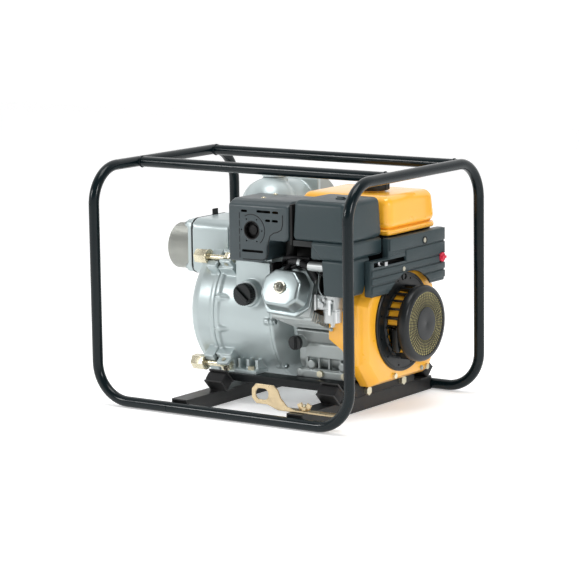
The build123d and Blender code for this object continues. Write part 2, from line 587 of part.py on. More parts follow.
def make_recoil():
    x0, x1, x2, x3 = RECOIL_X
    rim, disc = RECOIL_RIM_R, RECOIL_DISC_R
    housing = turned_x([(x0, 84), (x0, RECOIL_FLANGE_R), (x1, RECOIL_FLANGE_R), (x1, rim + 4), (x2 - 8, rim + 4),
                        (x2 - 4, disc), (x2 + 6, disc), (x2 + 13, disc - 4), (x3, disc - 12), (x3, 0),
                        (x3 - 4, 0), (x3 - 4, rim), (x1, rim)])
    housing += rod_x(9.95, x1 + 4, x3 - 3)
    for angle in range(0, 360, 15):
        cut = box((x1 + 4, x2 - 10), (AXIS_Y + rim - 8, AXIS_Y + rim + 12), (AXIS_Z - 6, AXIS_Z + 6))
        housing -= about_axis(cut, angle)
    housing -= box((296, 326), (-60, 6), (136, 206))
    save("recoil_housing", clean(housing))
    pulley = ring_x(52, 10.0, x1 + 6, x1 + 22) - ring_x(60, 46, x1 + 10, x1 + 18)
    rope = ring_x(51, 46, x1 + 10, x1 + 18)
    save("recoil_pulley", group([clean(pulley), rope]))
    grip = box((300, 320), (-16, 0), (142, 200))
    grip = fillet(grip.edges().filter_by(Axis.Z), 6)
    save("recoil_handle", clean(grip))


def make_side_panel():
    panel = box((288, 306), (-104, 214), (283, 366)) + box((288, 306), (-28, 214), (366, 411))
    panel = fillet(panel.edges().filter_by(Axis.X).group_by(Axis.Y)[0], 8)
    panel -= rod_x(122, 280, 310)
    panel -= box((285.9, 302), (-100, 210), (286, 362)) + box((285.9, 302), (-24, 210), (362, 407))
    panel -= box((300, 308), (-94, 40), (352, 362.5))
    panel -= rod_x(9, 300, 310, *SWITCH)
    panel += rod_z(2.95, 349, 364, 294, THROTTLE_Y)
    save("side_panel", clean(panel))
    y = THROTTLE_Y
    lever = rod_z(7, 352.5, 361.5, 294, y) + box((293, 313), (y - 4, y + 4), (354, 360))
    lever += box((309, 315), (y - 6, y + 6), (352.5, 361.5))
    lever -= rod_z(3, 350, 364, 294, y)
    save("throttle_lever", clean(lever))
    knob = rod_x(8.95, 303, 310, *SWITCH) + box((310, 315), (191.5, 208.5), (337, 343))
    knob += rod_x(11, 306 + GAP, 310, *SWITCH)
    save("engine_switch", clean(knob))


def make_small_controls():
    choke = rod_y(5, -164, -158.3, 230, 276) + box((227, 233), (-166, -161.5), (246, 276))
    save("choke_lever", clean(choke))
    dip = rod_y(9.95, -87, -60, *DIPSTICK) + rod_y(17, -98, -88 - GAP, *DIPSTICK)
    dip += box((DIPSTICK[0] - 4, DIPSTICK[0] + 4), (-104, -96), (DIPSTICK[1] - 14, DIPSTICK[1] + 14))
    dip += rod_y(3, -61, -42.5, *DIPSTICK)
    save("oil_dipstick", clean(dip))


# ---- tools and fasteners ---------------------------------------------------------------------
def make_wrench():
    y0, y1 = -263, -259
    low = CHANNEL_TOP + GAP
    outline = [(90, 90), (138, 90), (150, 80), (158, 62), (176, 44), (200, low + 4), (200, low), (150, low),
               (120, 44), (90, 44), (78, 56), (78, 78)]
    plate = prism_y(outline, y0, y1)
    plate -= fillet(box((88, 124), (y0 - 1, y1 + 1), (54, 80)).edges().filter_by(Axis.Y), 12)
    bar = box((152, 312), (-263, -237), (low, low + 4))
    tool = plate + bar
    tool -= rod_z(4.2, 30, 40, *WRENCH_PIN)
    save("cover_wrench", clean(tool))
    nut = rod_z(8, low + 4 + GAP, 46, *WRENCH_PIN)
    for side in (-1, 1):
        nut += Pos(WRENCH_PIN[0] + side * 11, WRENCH_PIN[1], 47) * Rot(0, side * 25, 0) * Box(12, 4, 14)
    nut -= rod_z(4.05, 36, 60, *WRENCH_PIN)
    save("wing_nut", clean(nut))


def make_bolts():
    bolts = [rod_z(4, CHANNEL_TOP, 52, *WRENCH_PIN)]
    for y in (-94, 210):
        bolts.append(hex_z(15, BED_TOP + 9, BED_TOP + 17, -45, y))
    for x, y, z in ((136, -65, 84), (204, -65, 84)):
        bolts.append(hex_y(15, y - 7, y, x, z))
    bolts.append(hex_x(19, 235, 243, -21, 47))
    bolts.append(hex_x(19, 235, 243, 130, 47))
    bolts += [about_axis(Pos(EYE_X, AXIS_Y + SWING_R, AXIS_Z) * Cylinder(5, 38), a) for a in SWING_ANGLES]
    for y, z in ((122, 390), (30, 334)):
        bolts.append(rod_x(5.5, 306, 309, y, z))
    for y, z in ((20, 66), (160, 66)):
        bolts.append(hex_x(12, 285, 291, y, z + 14))
    centre = tilted(Pos(-14, 0, 0) * (Pos(0, 0, COVER_D + 2) * Cylinder(15, 4)
                                     + Pos(0, 0, COVER_D) * extrude(RegularPolygon(8, 6), 14)))
    bolts.append(clean(centre))
    save("zinc_fasteners", group(bolts))


make_frame()
make_bed()
make_mounts()
make_front_cover()
make_casing()
make_adapter()
make_swing_bolts()
make_suction()
make_discharge()
make_plugs()
make_wet_end()
make_crankcase()
make_crank()
make_top_end()
make_ignition()
make_induction()
make_exhaust()
make_fuel()
make_shroud()
make_recoil()
make_side_panel()
make_small_controls()
make_wrench()
make_bolts()
print(len(NODES), "nodes")
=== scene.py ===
"""Looks of the portable fire pump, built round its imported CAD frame. Working units are millimetres."""
import math

import bmesh
import bpy
from mathutils import Matrix, Vector


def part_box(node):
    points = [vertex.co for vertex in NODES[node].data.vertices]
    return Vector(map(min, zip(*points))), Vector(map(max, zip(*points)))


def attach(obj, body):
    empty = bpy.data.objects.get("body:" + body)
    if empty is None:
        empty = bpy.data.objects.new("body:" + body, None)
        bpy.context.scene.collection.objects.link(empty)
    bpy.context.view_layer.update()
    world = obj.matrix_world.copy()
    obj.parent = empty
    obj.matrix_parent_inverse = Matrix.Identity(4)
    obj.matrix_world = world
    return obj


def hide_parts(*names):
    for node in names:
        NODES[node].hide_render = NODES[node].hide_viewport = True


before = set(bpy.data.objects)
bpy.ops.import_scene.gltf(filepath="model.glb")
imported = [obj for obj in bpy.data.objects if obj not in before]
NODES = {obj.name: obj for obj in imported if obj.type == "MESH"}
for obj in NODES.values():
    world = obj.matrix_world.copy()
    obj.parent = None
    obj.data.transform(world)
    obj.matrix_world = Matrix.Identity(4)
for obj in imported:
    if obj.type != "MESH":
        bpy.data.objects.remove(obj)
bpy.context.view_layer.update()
MM = 0.001


def cad_box(node):
    """Lowest and highest corner of a CAD node in millimetres."""
    low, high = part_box(node)
    return low / MM, high / MM


# ---- places read from the frame --------------------------------------------------------------
RECOIL_LO, RECOIL_HI = cad_box("recoil_housing")
AXIS_Y = (RECOIL_LO.y + RECOIL_HI.y) / 2
AXIS_Z = (RECOIL_LO.z + RECOIL_HI.z) / 2
CYL_TILT = 22.0                     # cylinder above level, in degrees
HEAD_LO, HEAD_HI = cad_box("cylinder_head")
CYL_X = (HEAD_LO.x + HEAD_HI.x) / 2
ON_AXIS = Matrix.Translation((0, AXIS_Y, AXIS_Z))
TILTED = Matrix.Translation((CYL_X, AXIS_Y, AXIS_Z)) @ Matrix.Rotation(math.radians(90 - CYL_TILT), 4, "X")
VALVE_COVER_X = -14.0               # middle of the valve cover beside the cylinder's line
CENTRE = TILTED @ Matrix.Translation((VALVE_COVER_X, 0, 0))
PLUG_X, PLUG_Z = -40.0, 267.0       # side plug of the pump
SHEET = 3.0                         # thickness of brackets and guides


# ---- mesh helpers ----------------------------------------------------------------------------
class Shape:
    """A mesh put together from closed primitives, in millimetres."""

    def __init__(self):
        self.bm = bmesh.new()

    def _place(self, verts, matrix):
        bmesh.ops.transform(self.bm, matrix=matrix, verts=verts)
        return self

    def box(self, x, y, z, matrix=None):
        middle = Vector([(a + b) / 2 for a, b in (x, y, z)])
        size = [abs(b - a) for a, b in (x, y, z)]
        verts = bmesh.ops.create_cube(self.bm, size=1.0)["verts"]
        place = Matrix.Translation(middle) @ Matrix.Diagonal((*size, 1))
        return self._place(verts, (matrix or Matrix()) @ place)

    def cyl(self, radius, start, end, sides=48, radius2=None, matrix=None):
        """Cylinder or cone between two points."""
        start, end = Vector(start), Vector(end)
        along = end - start
        verts = bmesh.ops.create_cone(self.bm, cap_ends=True, segments=sides, radius1=radius,
                                      radius2=radius if radius2 is None else radius2,
                                      depth=along.length)["verts"]
        turn = Vector((0, 0, 1)).rotation_difference(along).to_matrix().to_4x4()
        place = Matrix.Translation((start + end) / 2) @ turn
        return self._place(verts, (matrix or Matrix()) @ place)

    def hexagon(self, flats, start, end, matrix=None):
        return self.cyl(flats / math.sqrt(3), start, end, sides=6, matrix=matrix)

    def ball(self, radius, centre, scale):
        verts = bmesh.ops.create_uvsphere(self.bm, u_segments=32, v_segments=20, radius=radius)["verts"]
        return self._place(verts, Matrix.Translation(centre) @ Matrix.Diagonal((*scale, 1)))

    def prism(self, points, low, high, axis="X"):
        """Prism from an outline in the plane across the axis: (y, z), (x, z) or (x, y) points."""
        order = {"X": lambda p, t: (t, p[0], p[1]), "Y": lambda p, t: (p[0], t, p[1]),
                 "Z": lambda p, t: (p[0], p[1], t)}[axis]
        ends = [[self.bm.verts.new(order(p, t)) for p in points] for t in (low, high)]
        count = len(points)
        faces = [self.bm.faces.new(ends[0]), self.bm.faces.new(ends[1][::-1])]
        for i in range(count):
            j = (i + 1) % count
            faces.append(self.bm.faces.new((ends[0][j], ends[0][i], ends[1][i], ends[1][j])))
        bmesh.ops.recalc_face_normals(self.bm, faces=faces)
        return self

    def lathe(self, profile, centre=None, sides=96, matrix=None):
        """Ring or body turned about the main X axis from (x, radius) points, closed outline."""
        cy, cz = centre or (AXIS_Y, AXIS_Z)
        rings = []
        for i in range(sides):
            a = 2 * math.pi * i / sides
            rings.append([self.bm.verts.new((x, cy + r * math.cos(a), cz + r * math.sin(a)))
                          for x, r in profile])
        faces = []
        for i in range(sides):
            one, two = rings[i], rings[(i + 1) % sides]
            for k in range(len(profile)):
                m = (k + 1) % len(profile)
                faces.append(self.bm.faces.new((one[k], one[m], two[m], two[k])))
        bmesh.ops.recalc_face_normals(self.bm, faces=faces)
        if matrix:
            self._place([v for ring in rings for v in ring], matrix)
        return self

    def lathe_y(self, centre, profile, sides=48):
        """Ring about a line along Y through (x, z), from (y, radius) points."""
        turn = (Matrix.Translation((centre[0], 0, centre[1])) @ Matrix.Rotation(math.radians(90), 4, "Z"))
        return self.lathe(profile, (0, 0), sides, turn)

    def tube(self, points, radius, sides=12, closed=False):
        """Round bar along a smooth run of points."""
        rings, count = [], len(points)
        normal = None
        for i, p in enumerate(points):
            before = Vector(points[i - 1] if i or closed else points[i])
            after = Vector(points[(i + 1) % count] if i < count - 1 or closed else points[i])
            along = (after - before).normalized()
            if normal is None:
                normal = along.orthogonal().normalized()
            normal = (normal - along * normal.dot(along)).normalized()
            side = along.cross(normal)
            rings.append([self.bm.verts.new(Vector(p) + radius * (normal * math.cos(t) + side * math.sin(t)))
                          for t in (2 * math.pi * k / sides for k in range(sides))])
        for i in range(count if closed else count - 1):
            one, two = rings[i], rings[(i + 1) % count]
            for k in range(sides):
                m = (k + 1) % sides
                self.bm.faces.new((one[k], one[m], two[m], two[k]))
        if not closed:
            self.bm.faces.new(rings[0][::-1])
            self.bm.faces.new(rings[-1])
        return self

    def loft(self, sections, matrix=None):
        """Skin through outlines with equal point counts, given as lists of (x, y, z)."""
        rings = [[self.bm.verts.new(p) for p in outline] for outline in sections]
        count = len(rings[0])
        faces = [self.bm.faces.new(rings[0]), self.bm.faces.new(rings[-1][::-1])]
        for one, two in zip(rings, rings[1:]):
            for i in range(count):
                j = (i + 1) % count
                faces.append(self.bm.faces.new((one[j], one[i], two[i], two[j])))
        bmesh.ops.recalc_face_normals(self.bm, faces=faces)
        if matrix:
            self._place([v for ring in rings for v in ring], matrix)
        return self

    def copy_node(self, node):
        """Adds the CAD node's own surface."""
        source = NODES[node].data.copy()
        source.transform(Matrix.Scale(1 / MM, 4))
        self.bm.from_mesh(source)
        bpy.data.meshes.remove(source)
        bmesh.ops.remove_doubles(self.bm, verts=self.bm.verts, dist=0.001)
        return self

    def done(self, name):
        bmesh.ops.recalc_face_normals(self.bm, faces=self.bm.faces)
        self.bm.transform(Matrix.Scale(MM, 4))
        mesh = bpy.data.meshes.new(name)
        self.bm.to_mesh(mesh)
        self.bm.free()
        piece = bpy.data.objects.new(name, mesh)
        bpy.context.scene.collection.objects.link(piece)
        return piece


def applied(piece):
    """Replaces the piece's mesh by the result of its modifiers."""
    graph = bpy.context.evaluated_depsgraph_get()
    mesh = bpy.data.meshes.new_from_object(piece.evaluated_get(graph))
    piece.modifiers.clear()
    piece.data = mesh
    return piece


def bevelled(piece, width, segments=3, angle=30.0):
    """Rounds the edges sharper than the angle; the width is in millimetres."""
    mod = piece.modifiers.new("bevel", "BEVEL")
    mod.width = width * MM
    mod.segments = segments
    mod.angle_limit = math.radians(angle)
    mod.harden_normals = False
    return applied(piece)


def cut(piece, cutter):
    """Takes the cutter's volume out of the piece and removes the cutter."""
    mod = piece.modifiers.new("cut", "BOOLEAN")
    mod.object = cutter
    mod.operation = "DIFFERENCE"
    mod.solver = "EXACT"
    mod.use_self = True
    applied(piece)
    bpy.data.objects.remove(cutter)
    return piece


def cast(piece, voxel=2.0, smooth=5):
    """Melts the piece's primitives into one casting with soft inside corners."""
    mod = piece.modifiers.new("melt", "REMESH")
    mod.mode = "VOXEL"
    mod.voxel_size = voxel * MM
    soften = piece.modifiers.new("soften", "SMOOTH")
    soften.factor = 0.5
    soften.iterations = smooth
    return applied(piece)


def finished(piece, look, slot, body, *nodes, sharp=38.0):
    """Smooth shading, material, body and the CAD nodes that the piece stands for; the slot argument is not
    used.
    """
    for face in piece.data.polygons:
        face.use_smooth = True
    piece.data.set_sharp_from_angle(angle=math.radians(sharp))
    piece.data.materials.clear()
    piece.data.materials.append(look)
    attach(piece, body)
    if nodes:
        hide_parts(*nodes)
    return piece


def at_angle(angle, radius, x):
    """Point at a radius and an angle from +Y round the main axis."""
    a = math.radians(angle)
    return Vector((x, AXIS_Y + radius * math.cos(a), AXIS_Z + radius * math.sin(a)))


def merged(name, *pieces):
    """One object from several."""
    whole = bmesh.new()
    for piece in pieces:
        whole.from_mesh(piece.data)
        bpy.data.objects.remove(piece)
    mesh = bpy.data.meshes.new(name)
    whole.to_mesh(mesh)
    whole.free()
    piece = bpy.data.objects.new(name, mesh)
    bpy.context.scene.collection.objects.link(piece)
    return piece


def rounded(across, up, radius, steps=8):
    """Outline of a rectangle with round corners."""
    run = []
    left, right = across[0] + radius, across[1] - radius
    bottom, top = up[0] + radius, up[1] - radius
    for cx, cy, first in ((right, top, 0), (left, top, 90), (left, bottom, 180), (right, bottom, 270)):
        for k in range(steps + 1):
            a = math.radians(first + 90 * k / steps)
            run.append((cx + radius * math.cos(a), cy + radius * math.sin(a)))
    return run


def curve(points, steps=6):
    """Smooth run of points through the given ones."""
    pts = [Vector(p) for p in points]
    ends = [2 * pts[0] - pts[1]] + pts + [2 * pts[-1] - pts[-2]]
    run = []
    for a, b, c, d in zip(ends, ends[1:], ends[2:], ends[3:]):
        for k in range(steps):
            t = k / steps
            run.append(0.5 * ((2 * b) + (c - a) * t + (2 * a - 5 * b + 4 * c - d) * t * t
                              + (3 * b - a - 3 * c + d) * t ** 3))
    return run + [pts[-1]]


# ---- materials -------------------------------------------------------------------------------
def surface(name, colour, metallic=0.0, rough=0.45, grain=900.0, bump=0.08, mottle=0.08, patch=14.0,
            coat=0.0, rough_spread=0.08, wear=None, bands=0.0, specular=0.5):
    """Procedural finish: colour mottling, uneven gloss, fine grain in relief and worn edges."""
    mat = bpy.data.materials.new(name)
    mat.use_nodes = True
    nodes, links = mat.node_tree.nodes, mat.node_tree.links
    shader = nodes["Principled BSDF"]
    shader.inputs["Metallic"].default_value = metallic
    shader.inputs["Specular IOR Level"].default_value = specular
    shader.inputs["Coat Weight"].default_value = coat
    shader.inputs["Coat Roughness"].default_value = 0.08
    coords = nodes.new("ShaderNodeTexCoord")

    def noise(scale, detail=4.0):
        tex = nodes.new("ShaderNodeTexNoise")
        tex.inputs["Scale"].default_value = scale
        tex.inputs["Detail"].default_value = detail
        links.new(coords.outputs["Object"], tex.inputs["Vector"])
        return tex.outputs["Fac"]

    def blend_in(fac, first, second):
        mix = nodes.new("ShaderNodeMix")
        mix.data_type = "RGBA"
        links.new(fac, mix.inputs["Factor"])
        for socket, value in ((mix.inputs["A"], first), (mix.inputs["B"], second)):
            if isinstance(value, bpy.types.NodeSocket):
                links.new(value, socket)
            else:
                socket.default_value = (*value, 1)
        return mix.outputs["Result"]

    dark = [c * (1 - mottle) for c in colour]
    light = [min(1.0, c * (1 + mottle)) for c in colour]
    tone = blend_in(noise(patch), dark, light)
    if wear:
        edge = nodes.new("ShaderNodeNewGeometry")
        ramp = nodes.new("ShaderNodeMapRange")
        ramp.inputs["From Min"].default_value = 0.56
        ramp.inputs["From Max"].default_value = 0.66
        links.new(edge.outputs["Pointiness"], ramp.inputs["Value"])
        tone = blend_in(ramp.outputs["Result"], tone, wear)
    links.new(tone, shader.inputs["Base Color"])
    gloss = nodes.new("ShaderNodeMapRange")
    gloss.inputs["To Min"].default_value = max(0.02, rough - rough_spread)
    gloss.inputs["To Max"].default_value = min(1.0, rough + rough_spread)
    links.new(noise(patch * 3), gloss.inputs["Value"])
    links.new(gloss.outputs["Result"], shader.inputs["Roughness"])
    height = noise(grain, 2.0)
    if bands:
        wave = nodes.new("ShaderNodeTexWave")
        wave.bands_direction = "X"
        wave.inputs["Scale"].default_value = bands
        wave.inputs["Distortion"].default_value = 0.6
        links.new(coords.outputs["Object"], wave.inputs["Vector"])
        height = wave.outputs["Fac"]
    relief = nodes.new("ShaderNodeBump")
    relief.inputs["Strength"].default_value = bump
    relief.inputs["Distance"].default_value = 0.0006
    links.new(height, relief.inputs["Height"])
    links.new(relief.outputs["Normal"], shader.inputs["Normal"])
    return mat


FRAME_BLACK = surface("frame_black", (0.003, 0.008, 0.010), rough=0.17, grain=350, bump=0.04, mottle=0.15,
                      coat=0.05, specular=0.22, rough_spread=0.05)
BED_BLACK = surface("bed_black", (0.006, 0.008, 0.009), rough=0.42, grain=500, bump=0.08, mottle=0.2,
                    specular=0.3, wear=(0.03, 0.03, 0.03))
RUBBER = surface("rubber", (0.008, 0.008, 0.009), rough=0.55, grain=1500, bump=0.15, mottle=0.2, specular=0.3)
CAST = surface("cast_aluminium", (0.47, 0.54, 0.545), metallic=0.45, rough=0.38, grain=420, bump=0.10,
               mottle=0.05, coat=0.2, wear=(0.72, 0.74, 0.74))
# engine aluminium, darker than the pump's casting: partly its own tone, partly painted shade for the shadowed
# crankcase
SHADED_ENGINE_CAST = surface("engine_aluminium_with_painted_shade", (0.37, 0.405, 0.40), metallic=0.6, rough=0.40, grain=500, bump=0.16,
                      mottle=0.10, wear=(0.72, 0.73, 0.73))
PIPE = surface("pipe_steel", (0.36, 0.37, 0.34), metallic=0.75, rough=0.38, mottle=0.18, bump=0.55,
               bands=330.0)
IRON = surface("cast_iron", (0.10, 0.10, 0.10), metallic=0.3, rough=0.6, grain=300, bump=0.3)
STEEL = surface("steel", (0.50, 0.51, 0.52), metallic=1.0, rough=0.28, grain=800, bump=0.05)
ZINC = surface("zinc", (0.36, 0.415, 0.42), metallic=0.92, rough=0.31, grain=120, bump=0.05, mottle=0.12,
               patch=25, wear=(0.9, 0.9, 0.9))
YELLOW_ZINC = surface("yellow_zinc", (0.68, 0.63, 0.47), metallic=0.85, rough=0.26, grain=700, bump=0.08,
                      mottle=0.16, patch=40, wear=(0.92, 0.86, 0.66))
BLACK_PLASTIC = surface("black_plastic", (0.008, 0.010, 0.011), rough=0.34, grain=1600, bump=0.10,
                        mottle=0.10, specular=0.35)
SLATE = surface("slate_plastic", (0.024, 0.041, 0.046), rough=0.38, grain=1800, bump=0.14, mottle=0.06,
                specular=0.4)
SLATE_STEEL = surface("slate_steel", (0.030, 0.046, 0.052), rough=0.36, grain=1200, bump=0.10, mottle=0.07,
                      coat=0.1, wear=(0.12, 0.15, 0.16))
DARK_STEEL = surface("dark_steel", (0.006, 0.006, 0.006), rough=0.5, grain=700, bump=0.2, mottle=0.3,
                     specular=0.25)
ORANGE = surface("orange_paint", (0.97, 0.47, 0.030), rough=0.30, grain=260, bump=0.03, mottle=0.03, coat=0.5)
RED = surface("red_plastic", (0.72, 0.03, 0.07), rough=0.3, grain=1500, bump=0.05, coat=0.2)
# tan of the screen behind the recoil grille, lifted above its own tone as painted light because the screen
# sits in shadow; the strong mottling gives random specks
TAN = surface("tan_screen_painted_light", (0.88, 0.50, 0.22), rough=0.7, grain=900, bump=0.3, mottle=0.85, patch=260)
WRENCH_ZINC = surface("wrench_zinc", (0.60, 0.48, 0.30), metallic=0.85, rough=0.3, grain=700, bump=0.06,
                      mottle=0.16, patch=40, wear=(0.82, 0.72, 0.52))
AGED_ZINC = surface("aged_zinc", (0.36, 0.35, 0.30), metallic=0.85, rough=0.3, grain=700, bump=0.1,
                    mottle=0.2, patch=60, wear=(0.7, 0.66, 0.5))
CARB = surface("carburettor_aluminium", (0.46, 0.48, 0.48), metallic=0.85, rough=0.32, grain=500, bump=0.1,
               wear=(0.85, 0.85, 0.85))
PAPER = surface("filter_paper", (0.45, 0.40, 0.30), rough=0.8, grain=900, bump=0.3)

# look of each CAD node, shown or replaced
NODES_BY_LOOK = (
    (FRAME_BLACK, "frame_loop top_crossbars"),
    (BED_BLACK, "base_channels engine_bed mount_brackets"),
    (RUBBER, "rubber_mounts check_valve_gasket suction_flap pump_seals spark_plug_lead"),
    (PIPE, "suction_nipple discharge_nipple"),
    (IRON, "volute_insert impeller"),
    (STEEL, "crankshaft camshaft crank_bearings piston_and_rod throttle_lever"),
    (AGED_ZINC, "zinc_fasteners"),
    (ZINC, "drain_plug choke_lever valve_cover"),
    (WRENCH_ZINC, "cover_wrench wing_nut"),
    (BLACK_PLASTIC, "side_plug fuel_cap oil_dipstick recoil_housing recoil_handle recoil_pulley"),
    (CAST, "priming_cap pump_casing front_cover suction_flange discharge_elbow pump_adapter"),
    (SLATE, "air_cleaner_case air_cleaner_cover side_panel"),
    (PAPER, "filter_element"),
    (SLATE_STEEL, "muffler_cover"),
    (DARK_STEEL, "muffler"),
    (ORANGE, "fuel_tank blower_housing"),
    (RED, "engine_switch"),
    (SHADED_ENGINE_CAST, "crankcase crankcase_cover cylinder_head carburetor intake_pipe flywheel_fan"),
    (YELLOW_ZINC, "swing_bolt_1 swing_bolt_2 swing_bolt_3 swing_bolt_4 cover_nut_1 cover_nut_2 "
                  "cover_nut_3 cover_nut_4"))
CAD_LOOKS = {name: look for look, names in NODES_BY_LOOK for name in names.split()}


def dress_cad_nodes():
    for name, node in NODES.items():
        node.data.materials.clear()
        node.data.materials.append(CAD_LOOKS[name])


# ---- pump castings ---------------------------------------------------------------------------
DRUM_R = 165.0
SPLIT_X = -141.0                    # joint between casing and front cover
LUG_ANGLES = (135.6, 44.4, 216.0, 324.0)
LUG_R = (155.0, 187.0)
BOSS_ANGLES = (164, 190, 16, 350)
BOSS_R = 8.0
RIM_BOLT_ANGLES = range(45, 405, 45)
RIM_BOLT_R = DRUM_R - 4
RIM_BOSS_R = 9.0
FLANGE_X = -289.0                   # outer face of the suction flange
FLANGE_Z = 352.0
FLANGE_BOLTS = [(AXIS_Y + y, FLANGE_Z + z) for y in (-64, 64) for z in (-52, 52)]
OUTLET_PAD_X = (-86.0, 12.0)
SEAM_R = 0.9


def lug_turn(angle):
    return ON_AXIS @ Matrix.Rotation(math.radians(angle), 4, "X")


def make_pump():
    make_front_cover()
    make_pump_casing()
    make_flange_and_elbow()
    make_pump_bolts()
    make_cover_seam()


def make_front_cover():
    cover = Shape().copy_node("front_cover")
    for angle in LUG_ANGLES:
        cover.box((SPLIT_X - 28, SPLIT_X - 0.5), LUG_R, (-26, 26), lug_turn(angle))
    for z in (FLANGE_Z - 52, FLANGE_Z + 52):
        cover.cyl(9, (FLANGE_X + 22, AXIS_Y - 70, z), (FLANGE_X + 59, AXIS_Y - 66, z), 20, 4)
    finished(cast(cover.done("front_cover_casting")), CAST, "cast_aluminium", "pump_set", "front_cover")


def make_pump_casing():
    casing = Shape().copy_node("pump_casing")
    for angle in LUG_ANGLES:
        casing.box((SPLIT_X + 0.5, SPLIT_X + 45), LUG_R, (-24, 24), lug_turn(angle))
    for angle in BOSS_ANGLES:
        start = at_angle(angle, DRUM_R + 1, SPLIT_X + 8)
        casing.cyl(BOSS_R, start, start + Vector((10, 0, 0)), 20)
        casing.cyl(BOSS_R, start + Vector((8, 0, 0)), at_angle(angle, DRUM_R - 6, SPLIT_X + 46), 20, 4)
    casing.cyl(37, (PLUG_X, AXIS_Y - 150, PLUG_Z), (PLUG_X, AXIS_Y - 100, PLUG_Z), 40, 52)
    casing.box(OUTLET_PAD_X, (AXIS_Y - 150, AXIS_Y + 150), (230, 340))
    casing.box(OUTLET_PAD_X, (AXIS_Y - 140, AXIS_Y + 140), (230, 350))
    for angle in RIM_BOLT_ANGLES:
        start = at_angle(angle, RIM_BOLT_R, 5)
        casing.cyl(RIM_BOSS_R, start, start + Vector((14.5, 0, 0)), 20)
    finished(cast(casing.done("pump_casing_casting")), CAST, "cast_aluminium", "pump_set", "pump_casing")


def make_flange_and_elbow():
    """Suction flange, discharge elbow and the adapter to the engine."""
    flange = Shape().copy_node("suction_flange")
    for y, z in FLANGE_BOLTS:
        flange.cyl(12, (FLANGE_X, y, z), (FLANGE_X + 17, y, z), 24)
    flange = cast(flange.done("suction_flange_casting"))
    finished(flange, CAST, "cast_aluminium", "pump_set", "suction_flange")
    elbow = Shape().copy_node("discharge_elbow")
    elbow = cast(elbow.done("discharge_elbow_casting"), 2.5, 8)
    finished(elbow, CAST, "cast_aluminium", "pump_set", "discharge_elbow")
    adapter = Shape().copy_node("pump_adapter")
    for angle in RIM_BOLT_ANGLES:
        start = at_angle(angle, RIM_BOLT_R, 20.5)
        adapter.cyl(RIM_BOSS_R, start, start + Vector((9, 0, 0)), 20)
    finished(cast(adapter.done("pump_adapter_casting")), CAST, "cast_aluminium", "pump_set", "pump_adapter")


def make_pump_bolts():
    bolts = Shape()
    for angle in BOSS_ANGLES:
        start = at_angle(angle, DRUM_R + 1, SPLIT_X + 1)
        bolts.hexagon(11, start, start + Vector((8, 0, 0)))
    for y, z in FLANGE_BOLTS:
        bolts.cyl(7.5, (FLANGE_X - 1.5, y, z), (FLANGE_X + 0.5, y, z), 24)
        bolts.hexagon(12, (FLANGE_X - 7, y, z), (FLANGE_X - 1, y, z))
    for angle in RIM_BOLT_ANGLES:
        start = at_angle(angle, RIM_BOLT_R, 29)
        bolts.hexagon(11, start, start + Vector((7, 0, 0)))
    finished(bevelled(bolts.done("pump_bolts"), 0.7, 2), ZINC, "zinc_steel", "pump_set")


def make_cover_seam():
    """Waved joint line across each pair of lugs."""
    seam = Shape()
    for angle in LUG_ANGLES:
        across = Vector((0, -math.sin(math.radians(angle)), math.cos(math.radians(angle))))
        wave = [at_angle(angle, LUG_R[1] + 0.3, SPLIT_X + 2.5 * math.sin(k * 0.9)) + across * 1.6 * k
                for k in range(-14, 15)]
        seam.tube(wave, SEAM_R, 8)
    finished(seam.done("cover_seam"), RUBBER, "rubber_black", "pump_set")


# ---- engine castings -------------------------------------------------------------------------
RIB_HALF = 2.5
FRONT_RIBS_X = (92, 125, 154, 186)
FRONT_RIB = [(-48, 150), (-56, 148), (-59, 96), (-48, 88)]
REAR_RIBS_X = (100, 134, 168, 202)
REAR_RIB = [(160, 100), (172, 104), (172, 196), (167, 236), (160, 240)]
TAPPET_COVER = [(-46, 146), (-66, 158), (-80, 186), (-76, 190), (-46, 178)]
CARB_X, CARB_Y, CARB_Z = 222.0, -140.0, 254.0      # middle of the float bowl and its top


def make_engine_castings():
    case = Shape().copy_node("crankcase")
    for x in FRONT_RIBS_X:
        case.prism(FRONT_RIB, x - RIB_HALF, x + RIB_HALF)
    case.box((72, 224), (-62, -48), (86, 94))
    case.prism(TAPPET_COVER, 78, 206)
    for x in (108, 196):
        case.cyl(11, (x, -66, 104), (x, -48, 104), 24)
    for x in (76, 220):
        case.cyl(10, (x, -66, 82), (x, -40, 82), 24)
    for x in REAR_RIBS_X:
        case.prism(REAR_RIB, x - RIB_HALF, x + RIB_HALF)
    case.box((74, 222), (160, 171), (146, 151))
    for x in (84, 117, 185, 216):
        case.cyl(9, (x, 160, 112), (x, 174, 112), 24)
    case = cast(case.done("crankcase_casting"), 1.7, 3)
    finished(case, SHADED_ENGINE_CAST, "cast_aluminium", "pump_set", "crankcase")
    head = bevelled(Shape().copy_node("cylinder_head").done("cylinder_head_casting"), 1.0, 2)
    finished(head, SHADED_ENGINE_CAST, "cast_aluminium", "pump_set", "cylinder_head")
    carb = Shape().copy_node("carburetor")
    carb.cyl(22.5, (CARB_X, CARB_Y, CARB_Z - 4), (CARB_X, CARB_Y, CARB_Z), 32)
    carb.cyl(5, (CARB_X, CARB_Y, CARB_Z - 40), (CARB_X, CARB_Y, CARB_Z - 32), 6)
    carb.box((196, 204), (-162, -120), (262, 280))
    carb.cyl(6, (206, -164, 268), (206, -150, 268), 20)
    carb.cyl(4, (212, -163, 280), (212, -150, 280), 16)
    carb.box((186, 190), (-162, -118), (254, 290))
    finished(bevelled(carb.done("carburetor_body"), 1.2, 2), CARB, "cast_aluminium", "pump_set", "carburetor")


